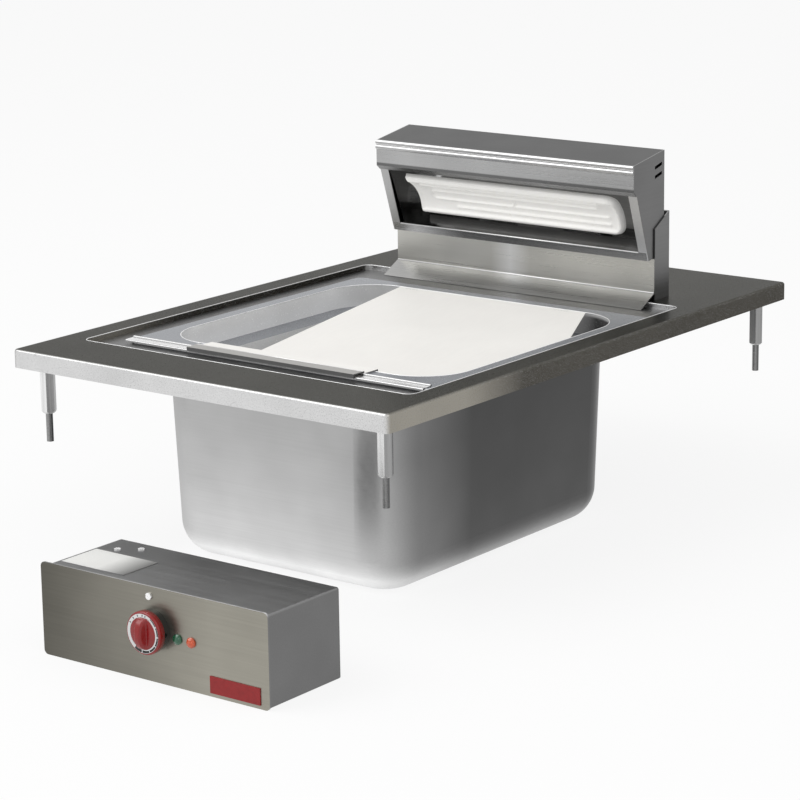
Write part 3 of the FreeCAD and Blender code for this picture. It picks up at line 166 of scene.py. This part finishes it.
# Noise scales per metre: low along the grain, high across it
GRAINS = {"x": (9.0, 700.0, 700.0), "y": (700.0, 9.0, 700.0), "z": (700.0, 700.0, 9.0),
          "none": (900.0, 900.0, 900.0)}
STEEL_CLOUDS = (14.0, 14.0, 14.0)
# Noise scale of the painted glints
STEEL_SPECKS = (1500.0, 1500.0, 1500.0)
MOULDED_CLOUDS = (30.0, 30.0, 30.0)
# Steps of the painted marks: the level step of the painted sunk tone, the strongest share of the
# painted reflection band and the noise span of the painted glints
SUNK_STEP = 0.0005
REFLECTION_BAND_SHARE = 0.8
SPECK_LOW, SPECK_HIGH = 0.70, 0.78
ROUGH_SWING = 0.06


def steel(name, front, right, top, grain="x", depth=0.1, rough=0.3, ramps=(), spots=None,
          metallic=1.0, cloud=0.08, edge=1.0, glow=0.0, sunk=None, band=None, fade=None,
          shade=None, bump=0.12):
    """Sheet steel whose tone turns with its faces, painted light and shade, with a brushed grain
    and soft clouding.

    Ramps scale the tone between two places on an axis, as painted light and shade. Spots adds
    bright specks of the given share, painted glints. Edge dims what is seen at a flat angle, and
    glow makes the sheet give off a little light of its own, painted light in place of light from
    the sheets it faces. Sunk is the painted tone of upward faces under a level, and band a soft
    bright stripe across an axis, a painted reflection. Fade is a ramp for the side faces alone,
    painted light on them. Shade scales the tone where two spans, each from no effect to full
    effect, are both passed, a painted shade."""
    net = Net(name)
    across, along, up = net.facing()
    # Fade scales the side faces' tone along an axis, painted light on them
    if fade:
        across = net.maths("MULTIPLY", across, net.ramp(*fade))
    lid = linear(top)
    # Sunk gives upward faces below a level their own painted tone
    if sunk:
        level, colour = sunk
        lid = net.mixed(net.ramp("z", level, level + SUNK_STEP, 1.0, 0.0), lid, linear(colour))
    # Painted light and shade: each face mixes the front, side and top tones by the way it turns
    tone = net.plus(net.scaled(linear(front), along),
                    net.plus(net.scaled(linear(right), across), net.scaled(lid, up)))
    # Band is a painted reflection, a soft bright stripe across an axis
    if band:
        axis, centre, half, colour = band
        off = net.maths("ABSOLUTE", net.maths("SUBTRACT", net.coordinate(axis), centre))
        share = net.maths("MULTIPLY", net.span(off, 0.0, half, REFLECTION_BAND_SHARE, 0.0), along)
        tone = net.mixed(share, tone, linear(colour))
    # Ramps are painted light and shade along an axis
    for ramp in ramps:
        tone = net.scaled(tone, net.ramp(*ramp))
    # Shade is a painted shade where both spans are passed
    if shade:
        first, second, factor = shade
        share = net.maths("MULTIPLY", net.ramp(*first, 0.0, 1.0), net.ramp(*second, 0.0, 1.0))
        tone = net.scaled(tone, net.span(share, 0.0, 1.0, 1.0, factor))
    fine = net.noise(GRAINS[grain])
    broad = net.noise(STEEL_CLOUDS, 2.0)
    tone = net.scaled(tone, net.swing(fine, depth))
    tone = net.scaled(tone, net.swing(broad, cloud))
    # Spots are painted glints, bright specks
    if spots:
        share, colour = spots
        speck = net.noise(STEEL_SPECKS, 1.0)
        mask = net.span(speck, SPECK_LOW - share, SPECK_HIGH - share, 0.0, 1.0)
        tone = net.mixed(mask, tone, linear(colour))
    rough_map = net.span(fine, 0.2, 0.8, rough - ROUGH_SWING, rough + ROUGH_SWING)
    # Glow makes the sheet give off a little light of its own, painted light
    shader = net.add("ShaderNodeBsdfPrincipled", {
        "Base Color": tone, "Metallic": metallic, "Roughness": rough_map,
        "Specular Tint": (edge, edge, edge, 1.0), "Emission Color": tone,
        "Emission Strength": glow, "Normal": net.bumped(fine, bump)})
    return net.close(shader.outputs[0])


def moulded(name, colour, rough=0.25, depth=0.12, coat=0.0, size=220.0, bump=0.08, glow=0.0):
    """Plastic, glaze or paint with a mottled tone and a faint uneven surface; glow gives it a
    little light of its own.
    """
    net = Net(name)
    fine = net.noise((size, size, size))
    broad = net.noise(MOULDED_CLOUDS, 2.0)
    base = linear(colour)
    darker = tuple(part * (1.0 - depth) for part in base)
    tone = net.mixed(net.span(fine, 0.3, 0.7, 0.0, 1.0), base, darker)
    tone = net.scaled(tone, net.swing(broad, depth / 2))
    shader = net.add("ShaderNodeBsdfPrincipled", {
        "Base Color": tone, "Metallic": 0.0,
        "Roughness": net.span(fine, 0.2, 0.8, rough * 0.8, rough * 1.2),
        "Coat Weight": coat, "Emission Color": base + (1.0,), "Emission Strength": glow,
        "Normal": net.bumped(fine, bump)})
    return net.close(shader.outputs[0])


def dress(material, *names):
    """Put a material on every slot of CAD nodes."""
    for name in names:
        mesh = nodes[name].data
        if not mesh.materials:
            mesh.materials.append(material)
        for place in range(len(mesh.materials)):
            mesh.materials[place] = material


# Every steel tone below is painted light and shade: faces turned front, to the side and up each
# get their own tone, for how the light falls on them
# Materials of the CAD nodes: the plate, whose right flange has painted light only near its front
# corner, with painted glints on its top and a paler painted tone on its sunk upward faces
dress(steel("plate_steel", 216, (152, 148, 139), (93, 92, 87), grain="none", depth=0.1,
            rough=0.3, bump=0.06, spots=(0.1, 150), edge=0.45, sunk=(0.0125, 168),
            fade=("y", -0.2, -0.12, 1.0, 0.24)), "top_plate")
# The tank, with painted light on its front face, brighter towards its front corner and lower
# down, its bottom rounding painted pale as if lit from the floor, and painted shade along its
# foot
dress(steel("tank_steel", 111, 74, 170, grain="x", depth=0.04, rough=0.35,
            ramps=(("z", -0.15, -0.05, 1.3, 0.92), ("y", -0.216, -0.11, 3.2, 1.0),
                   ("z", -0.170, -0.157, 0.5, 1.0))), "well_tank")
# The pan, with painted shade inside its back right corner, painted glints and a little painted
# glow of its own, and what lies on it
dress(steel("pan_steel", 190, 236, (132, 135, 140), grain="none", depth=0.02, rough=0.24,
            bump=0.03, spots=(0.03, 180), edge=0.5, metallic=0.4, glow=0.16,
            shade=(("x", 0.1, 0.128), ("z", 0.0125, 0.01), 0.1)), "gn_pan")
dress(steel("rail_steel", 168, 120, 225, grain="x", depth=0.05, rough=0.25), "rim_rail")
# The tray glows a little, painted light, and its hook lip in front of the bend has painted shade
dress(steel("tray_steel", 140, 120, (236, 234, 230), grain="y", depth=0.02, rough=0.5,
            cloud=0.02, metallic=0.0, edge=0.3, glow=0.06,
            ramps=(("y", -0.2025, -0.2015, 0.42, 1.0),)), "chip_tray")
# Studs and support
dress(steel("sleeve_steel", 230, 110, 190, grain="z", depth=0.2, rough=0.28), "stud_sleeves")
dress(steel("pin_steel", 150, 90, 150, grain="none", depth=0.25, rough=0.35), "stud_pins")
# The support's front: a soft bright stripe is a painted reflection, and the sheet glows a little,
# painted light
dress(steel("support_steel", (188, 187, 182), 112, 160, grain="x", depth=0.03, rough=0.3,
            glow=0.04, bump=0.02, cloud=0.1, band=("x", -0.013, 0.022, 232)), "support_front")
dress(steel("cover_steel", 120, 112, 150, grain="y", depth=0.06, rough=0.32), "support_cover")
dress(steel("foot_steel", 130, 110, 120, grain="x"), "support_feet", "foot_bolts",
      "heater_clips", "lead_conduit", "hood_spacers", "hood_screws", "control_rear_cover",
      "regulator_shaft", "regulator_nut")
# Hood: painted glints on the top; the fascia has painted shade along its lower edge, and the lip
# painted shade away from its left end, lighter again towards its right end
dress(steel("hood_top_steel", 112, 104, 120, grain="x", depth=0.08, rough=0.36,
            spots=(0.03, 150), edge=0.55), "hood_top")
dress(steel("fascia_steel", 172, 140, 245, grain="x", depth=0.04, rough=0.28,
            ramps=(("z", 0.1203, 0.1213, 0.36, 1.0),)), "hood_fascia")
dress(steel("side_steel", 186, 108, 130, grain="y", depth=0.06, rough=0.34),
      "hood_side_left", "hood_side_right")
dress(steel("lip_steel", 176, 120, 170, grain="x", depth=0.08, rough=0.26,
            ramps=(("x", -0.125, -0.06, 1.0, 0.22), ("x", 0.0, 0.14, 1.0, 2.0))),
      "hood_bottom")
# The reflector is darker low down, painted shade
dress(steel("reflector_steel", 176, 150, 160, grain="x", depth=0.1, rough=0.1, cloud=0.3,
            ramps=(("z", 0.072, 0.082, 0.35, 1.0),)), "reflector")
# The glaze glows a little, painted light
glaze = moulded("heater_glaze", (240, 239, 236), rough=0.3, depth=0.05, coat=0.2, size=400.0,
                glow=0.2)
dress(glaze, "heater_element", "heater_terminal")
dress(moulded("sleeve_weave", (205, 200, 188), rough=0.8, depth=0.3, size=900.0, bump=0.4),
      "heater_leads")
# Control box and black parts
dress(moulded("black_moulding", 34, rough=0.4, depth=0.3, size=600.0), "support_gland",
      "gland_locknut", "box_glands", "regulator_body", "lamp_holders", "terminal_block")
dress(moulded("bezel_moulding", 24, rough=0.12, depth=0.25, coat=0.4), "dial_bezel")
red = moulded("red_moulding", (140, 2, 5), rough=0.22, depth=0.1, coat=0.15, bump=0.02)
dress(red, "control_knob")
dress(moulded("badge_print", (146, 8, 14), rough=0.45, depth=0.2), "badge_plate")
dress(steel("ring_metal", 214, 200, 215, grain="none", depth=0.06, rough=0.22), "scale_ring")
green = moulded("green_glass", (8, 96, 62), rough=0.08, depth=0.5, coat=0.6, glow=0.05,
                size=900.0)
dress(green, "green_lamp")
orange = moulded("orange_glass", (205, 78, 28), rough=0.08, depth=0.5, coat=0.6, glow=0.08,
                 size=900.0)
dress(orange, "orange_lamp")
# The rating plate darkens towards its right end, painted shade
dress(steel("plate_print", 238, 238, (240, 240, 237), grain="none", depth=0.04, rough=0.4,
            metallic=0.2, edge=0.4, ramps=(("x", 0.032, 0.062, 1.0, 0.17),)), "rating_plate")
# The screw heads are painted pale and glow a little, painted highlights
dress(steel("screw_steel", 240, 215, 245, grain="none", depth=0.1, rough=0.25, metallic=0.7,
            glow=0.1), "top_screws", "panel_screw")
# The panel is darker towards its left, painted shade
dress(steel("panel_steel", (154, 151, 141), 118, 225, grain="x", depth=0.06, rough=0.34,
            ramps=(("x", -0.01, 0.16, 0.38, 1.0),)), "control_panel")
dress(steel("shell_steel", 120, 116, 146, grain="x", depth=0.06, rough=0.36, edge=0.6),
      "control_shell")

# Materials of the pieces made here
# Painted highlight: a pale steel that glows a little, for the edge bars
bright = steel("edge_highlight_steel", 236, 226, 236, grain="x", depth=0.05, rough=0.3, metallic=0.6,
               glow=0.1)
dark_print = moulded("mark_print", 22, rough=0.35, depth=0.3, size=700.0)


# Pieces
def piece(name, made, body, material, smooth=True):
    """Turn finished mesh work into a piece that rides on a body."""
    bmesh.ops.recalc_face_normals(made, faces=made.faces)
    mesh = bpy.data.meshes.new(name)
    for face in made.faces:
        face.smooth = smooth
    made.to_mesh(mesh)
    made.free()
    mesh.materials.append(material)
    thing = bpy.data.objects.new(name, mesh)
    bpy.context.scene.collection.objects.link(thing)
    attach(thing, body)
    return thing


def edge_line(name, path, radius, body, closed=False, sides=8):
    """A thin bright round bar along a path, a painted highlight: it stands for the light on a
    folded or rolled edge and glows a little.
    """
    made = bmesh.new()
    rings = []
    count = len(path)
    for index, place in enumerate(path):
        here = Vector(place)
        ahead = Vector(path[(index + 1) % count]) if closed or index + 1 < count else here
        behind = Vector(path[index - 1]) if closed or index else here
        run = (ahead - behind).normalized()
        side = run.cross(Vector((0.0, 0.0, 1.0))).normalized()
        over = side.cross(run)
        ring = []
        for step in range(sides):
            angle = math.tau * step / sides
            out = side * math.cos(angle) + over * math.sin(angle)
            ring.append(made.verts.new(here + out * radius))
        rings.append(ring)
    for index in range(count if closed else count - 1):
        first, second = rings[index], rings[(index + 1) % count]
        for step in range(sides):
            after = (step + 1) % sides
            made.faces.new((first[step], first[after], second[after], second[step]))
    if not closed:
        made.faces.new(rings[0])
        made.faces.new(rings[-1])
    return piece(name, made, body, bright)


def rounded_loop(low, high, corner, z, turns=8):
    """Places round a rectangle with rounded corners."""
    path = []
    centres = ((high[0] - corner, high[1] - corner, 0.0),
               (low[0] + corner, high[1] - corner, 0.25),
               (low[0] + corner, low[1] + corner, 0.5),
               (high[0] - corner, low[1] + corner, 0.75))
    for x, y, start in centres:
        for step in range(turns + 1):
            angle = math.tau * (start + 0.25 * step / turns)
            path.append((x + corner * math.cos(angle), y + corner * math.sin(angle), z))
    return path


def heater():
    """The glazed trough: a raised border, a closed loop at the left, open loops at the right.

    Its front lies inside a leaning cylinder: u runs along the axis and s round the wall."""
    centre_y, centre_z, radius = 0.1282, 0.07565, 0.032
    lean_cos, lean_sin = 0.8660, 0.5
    thick, arc = 0.006, 0.0202
    left_end, left_slant, left_round = -0.119, 0.005, 0.003
    right_end, right_round = 0.112, 0.009
    lip_inset, lip_height, lip_width = 0.0022, 0.0016, 0.0016
    ridge_height, ridge_width = 0.0022, 0.0012
    drop, drop_width = 0.0015, 0.0012
    loop_left, loop_right, loop_middle, loop_half, bends = -0.092, -0.008, 0.0005, 0.0047, 8
    upper, lower, lowest, highest = 0.0052, -0.0042, -0.0115, 0.0128
    boss_left, boss_right, boss_half, boss_depth, boss_sunk = -0.022, 0.018, 0.006, 0.0145, 0.0005

    lines = [((loop_left, upper), (loop_right, upper)), ((loop_left, lower), (loop_right, lower)),
             ((-0.006, upper), (0.088, upper)), ((-0.006, lower), (0.099, lower)),
             ((-0.07, lowest), (0.100, lowest)), ((-0.105, highest), (0.092, highest))]
    for u, turn in ((loop_left, -1.0), (loop_right, 1.0)):
        arch = [(u + turn * loop_half * math.sin(math.pi * k / bends),
                 loop_middle + loop_half * math.cos(math.pi * k / bends))
                for k in range(bends + 1)]
        lines.extend(zip(arch, arch[1:]))

    def to_line(u, s):
        """Distance to the nearest ridge line."""
        best = 1.0
        for (u0, s0), (u1, s1) in lines:
            run_u, run_s = u1 - u0, s1 - s0
            share = ((u - u0) * run_u + (s - s0) * run_s) / (run_u * run_u + run_s * run_s)
            share = min(1.0, max(0.0, share))
            best = min(best, math.hypot(u - u0 - run_u * share, s - s0 - run_s * share))
        return best

    def place(u, s, depth):
        angle = s / radius
        reach = radius + depth
        across = math.cos(angle) * lean_cos - math.sin(angle) * lean_sin
        upward = math.cos(angle) * lean_sin + math.sin(angle) * lean_cos
        return (u, centre_y + reach * across, centre_z + reach * upward)

    columns, rows = ((300, 64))
    made = bmesh.new()
    front, back = [], []
    for column in range(columns + 1):
        front.append([])
        back.append([])
        for row in range(rows + 1):
            q = -1.0 + 2.0 * row / rows
            low_turn = min(1.0, max(0.0, (-q - 0.7) / 0.3))
            turn = min(1.0, max(0.0, (abs(q) - 0.6) / 0.4))
            left = (left_end + left_slant * ((1.0 - q) / 2.0) ** 0.5
                    + left_round * (1.0 - math.sqrt(1.0 - low_turn ** 2)))
            right = right_end - right_round * (1.0 - math.sqrt(1.0 - turn ** 2))
            u = left + (right - left) * column / columns
            s = arc * q
            border = min(arc - abs(s), u - left, right - u)
            lip = lip_height * math.exp(-((border - lip_inset) / lip_width) ** 2)
            ridge = ridge_height * math.exp(-(to_line(u, s) / ridge_width) ** 2)
            edge = drop * max(0.0, 1.0 - border / drop_width) ** 2
            front[-1].append(made.verts.new(place(u, s, edge - lip - ridge)))
            back[-1].append(made.verts.new(place(u, s, thick)))
    for column in range(columns):
        for row in range(rows):
            for side in (front, back):
                made.faces.new((side[column][row], side[column + 1][row],
                                side[column + 1][row + 1], side[column][row + 1]))
    rim = [(column, 0) for column in range(columns)] + [(columns, row) for row in range(rows)]
    rim += [(column, rows) for column in range(columns, 0, -1)]
    rim += [(0, row) for row in range(rows, 0, -1)]
    for (c0, r0), (c1, r1) in zip(rim, rim[1:] + rim[:1]):
        made.faces.new((front[c0][r0], front[c1][r1], back[c1][r1], back[c0][r0]))
    boss = [made.verts.new(place(u, s, depth)) for depth in (thick - boss_sunk, boss_depth)
            for u, s in ((boss_left, -boss_half), (boss_right, -boss_half),
                         (boss_right, boss_half), (boss_left, boss_half))]
    for face in ((0, 1, 2, 3), (4, 5, 6, 7), (0, 1, 5, 4), (1, 2, 6, 5), (2, 3, 7, 6),
                 (3, 0, 4, 7)):
        made.faces.new([boss[corner] for corner in face])
    thing = piece("heater_trough", made, "unit", glaze)
    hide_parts("heater_element")
    return thing


def dial_marks():
    """The black tapered arc and small ticks on the knob's pale ring."""
    made = bmesh.new()
    front, thick = -0.48005, 0.0002
    arcs, arc_start, arc_pitch, arc_sweep = 6, 32.0, 31.0, 27.0
    arc_inner, arc_taper, arc_outer = 0.01465, 0.0003, 0.0151
    tick_inner, tick_outer, tick_half = 0.0133, 0.0148, 1.3

    def band(start, stop, inner_first, inner_last, outer, steps):
        """Degrees run clockwise from the top, seen from the front."""
        edge = []
        for step in range(steps + 1):
            share = step / steps
            angle = math.radians(start + (stop - start) * share)
            inner = inner_first + (inner_last - inner_first) * share
            edge.append([made.verts.new((KNOB_X + r * math.sin(angle), y,
                                         KNOB_Z + r * math.cos(angle)))
                         for y in (front, front + thick) for r in (inner, outer)])
        for first, second in zip(edge, edge[1:]):
            for a, b in ((0, 1), (1, 3), (3, 2), (2, 0)):
                made.faces.new((first[a], first[b], second[b], second[a]))
        made.faces.new([edge[0][k] for k in (0, 1, 3, 2)])
        made.faces.new([edge[-1][k] for k in (0, 1, 3, 2)])

    for index in range(arcs):
        start = arc_start + index * arc_pitch
        first = arc_inner - index * arc_taper
        band(start, start + arc_sweep, first, first - arc_taper, arc_outer, 8)
    for angle in (-60.0, -40.0, -20.0, 0.0, 12.0):
        band(angle - tick_half, angle + tick_half, tick_inner, tick_inner, tick_outer, 1)
    return piece("dial_marks", made, "knob", dark_print, smooth=False)


def knob():
    """The round knob: a rolled edge, a seat for the pale ring, a low dome, a rounded grip."""
    front, back, outer, back_share = -0.4798, -0.4740, 0.017, 0.6
    roll_start, roll = 0.0154, 0.0016
    seat_start, seat_depth = 0.0125, 0.0003
    dome_height, grip_height = 0.0010, 0.0074
    grip_half_length, grip_half_width = 0.0122, 0.0040

    def height(across, upward):
        r = math.hypot(across, upward)
        if r > roll_start:
            share = min(1.0, (r - roll_start) / roll)
            return roll * (math.sqrt(max(0.0, 1.0 - share * share)) - 1.0)
        if r > seat_start:
            return -seat_depth
        dome = dome_height * math.sqrt(max(0.0, 1.0 - (r / seat_start) ** 2))
        tall = grip_height * math.sqrt(max(0.0, 1.0 - (upward / grip_half_length) ** 2))
        return max(dome, tall * math.exp(-(abs(across) / grip_half_width) ** 6))

    turns, rings = ((192, 90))
    made = bmesh.new()
    middle = made.verts.new((KNOB_X, front - height(0.0, 0.0), KNOB_Z))
    last = None
    for ring in range(1, rings + 3):
        r = outer * min(1.0, ring / rings)
        row = []
        for turn in range(turns):
            angle = math.tau * turn / turns
            across, upward = r * math.sin(angle), r * math.cos(angle)
            y = front - height(across, upward) if ring <= rings else back
            if ring > rings + 1:
                across, upward = across * back_share, upward * back_share
            row.append(made.verts.new((KNOB_X + across, y, KNOB_Z + upward)))
        for turn in range(turns):
            after = (turn + 1) % turns
            if last:
                made.faces.new((last[turn], last[after], row[after], row[turn]))
            else:
                made.faces.new((middle, row[turn], row[after]))
        last = row
    made.faces.new(last)
    thing = piece("control_knob_round", made, "knob", red)
    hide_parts("control_knob")
    return thing


def lens_facets(name, x, material):
    """Small pyramids over a lamp's lens, as cut glass has."""
    made = bmesh.new()
    z, back, reach, margin = -0.1316, -0.46955, 0.0036, 0.0003
    step, dome_height, peak_height = 0.0012, 0.0012, 0.0004
    square = ((-step / 2, -step / 2), (step / 2, -step / 2), (step / 2, step / 2),
              (-step / 2, step / 2))
    for row in range(-3, 4):
        for column in range(-3, 4):
            u, w = column * step, row * step
            if math.hypot(u, w) > reach - margin:
                continue
            bulge = dome_height * (1.0 - (math.hypot(u, w) / reach) ** 2)
            corners = [made.verts.new((x + u + a, back - bulge, z + w + b)) for a, b in square]
            peak = made.verts.new((x + u, back - bulge - peak_height, z + w))
            for a, b in zip(corners, corners[1:] + corners[:1]):
                made.faces.new((a, b, peak))
            made.faces.new(corners)
    return piece(name, made, "unit", material, smooth=False)


heater()
knob()
dial_marks()
lens_facets("green_facets", 0.1297, green)
lens_facets("orange_facets", 0.1432, orange)
# Painted highlights: thin glowing bars for the light along the seat, the pan's mouth and rim, the
# support's fold, the lip and the tray's hook bend
edge_line("seat_edge_line", rounded_loop((-0.1750, -0.2410), (0.1775, 0.1525), 0.008, 0.01590),
          0.00035, "unit", closed=True)
edge_line("mouth_edge_line",
          rounded_loop((-0.1360, -0.1870), (0.1620, 0.0950), 0.045, 0.01385, 16),
          0.0004, "pan", closed=True)
edge_line("rim_edge_line", rounded_loop((-0.1496, -0.2116), (0.1756, 0.1086), 0.009, 0.01345),
          0.0003, "pan", closed=True)
edge_line("support_fold_line", [(-0.1440, 0.1617, 0.0231), (0.1440, 0.1617, 0.0231)],
          0.0006, "unit")
edge_line("mouth_lip_line", [(-0.1335, 0.1528, 0.0603), (0.1335, 0.1528, 0.0603)],
          0.0006, "unit")
edge_line("hook_bend_line", [(-0.0788, -0.2030, 0.0170), (0.0998, -0.2030, 0.0170)],
          0.0004, "tray")


# Stage: camera, floor, world and soft lamps. The camera was fitted to the photograph.
CAMERA_PLACE = (1.51958, -1.99161, 0.55935)
CAMERA_RIGHT = Vector((0.793402, 0.608522, -0.014650))
CAMERA_UP = Vector((-0.135300, 0.199715, 0.970467))
CAMERA_LENS, CAMERA_SENSOR, CAMERA_REACH = 130.674, 36.0, 60.0
FLOOR_HALF, FLOOR_WHITE_SHARE = 9, 0.86
FLOOR_DARK, FLOOR_PALE = (0.90, 0.90, 0.90), (0.93, 0.93, 0.93)
WORLD_STRENGTH = 0.62
LAMP_SIZE = 2.4


def camera():
    back = CAMERA_RIGHT.cross(CAMERA_UP)
    turn = Matrix((CAMERA_RIGHT, CAMERA_UP, back)).transposed().to_4x4()
    data = bpy.data.cameras.new("view_camera")
    data.lens = CAMERA_LENS
    data.sensor_width = CAMERA_SENSOR
    data.clip_end = CAMERA_REACH
    thing = bpy.data.objects.new("view_camera", data)
    bpy.context.scene.collection.objects.link(thing)
    thing.matrix_world = Matrix.Translation(CAMERA_PLACE) @ turn
    bpy.context.scene.camera = thing
    return thing


def floor():
    """A pale floor at the part's lowest level, nearly white to the camera and to reflections."""
    low = min(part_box(name)[0][2] for name in nodes)
    mesh = bpy.data.meshes.new("studio_floor")
    made = bmesh.new()
    half = FLOOR_HALF
    corners = [made.verts.new((x, y, low)) for x, y in
               ((-half, -half), (half, -half), (half, half), (-half, half))]
    made.faces.new(corners)
    made.to_mesh(mesh)
    made.free()
    thing = bpy.data.objects.new("studio_floor", mesh)
    bpy.context.scene.collection.objects.link(thing)
    net = Net("floor_paint")
    tone = net.mixed(net.noise((3.0, 3.0, 3.0)), FLOOR_DARK, FLOOR_PALE)
    paint = net.add("ShaderNodeBsdfDiffuse", {"Color": tone}).outputs[0]
    glow = net.add("ShaderNodeEmission", {"Color": WHITE, "Strength": 1.0}).outputs[0]
    share = net.maths("MULTIPLY", net.seen(), FLOOR_WHITE_SHARE)
    mix = net.add("ShaderNodeMixShader", {0: share, 1: paint, 2: glow}).outputs[0]
    mesh.materials.append(net.close(mix))
    return thing


def world():
    """Softer light on the part than what the camera and reflections see, which is plain white."""
    space = bpy.data.worlds.new("studio_world")
    bpy.context.scene.world = space
    net = Tree(space)
    soft = net.add("ShaderNodeBackground", {"Color": WHITE, "Strength": WORLD_STRENGTH})
    plain = net.add("ShaderNodeBackground", {"Color": WHITE, "Strength": 1.0})
    shades = {0: net.seen(), 1: soft.outputs[0], 2: plain.outputs[0]}
    mix = net.add("ShaderNodeMixShader", shades).outputs[0]
    net.add("ShaderNodeOutputWorld", {0: mix})


def lamp(name, place, energy):
    """A soft square lamp aimed at the origin."""
    data = bpy.data.lights.new(name, "AREA")
    data.shape = "SQUARE"
    data.size = LAMP_SIZE
    data.energy = energy
    thing = bpy.data.objects.new(name, data)
    bpy.context.scene.collection.objects.link(thing)
    thing.location = place
    thing.rotation_euler = Vector(place).to_track_quat("Z", "Y").to_euler()
    return thing


world()
camera()
floor()
lamp("key_lamp", (-1.3, -1.6, 2.2), 42.0)
lamp("fill_lamp", (2.2, -0.6, 1.6), 12.0)
bpy.context.scene.view_settings.view_transform = "Standard"
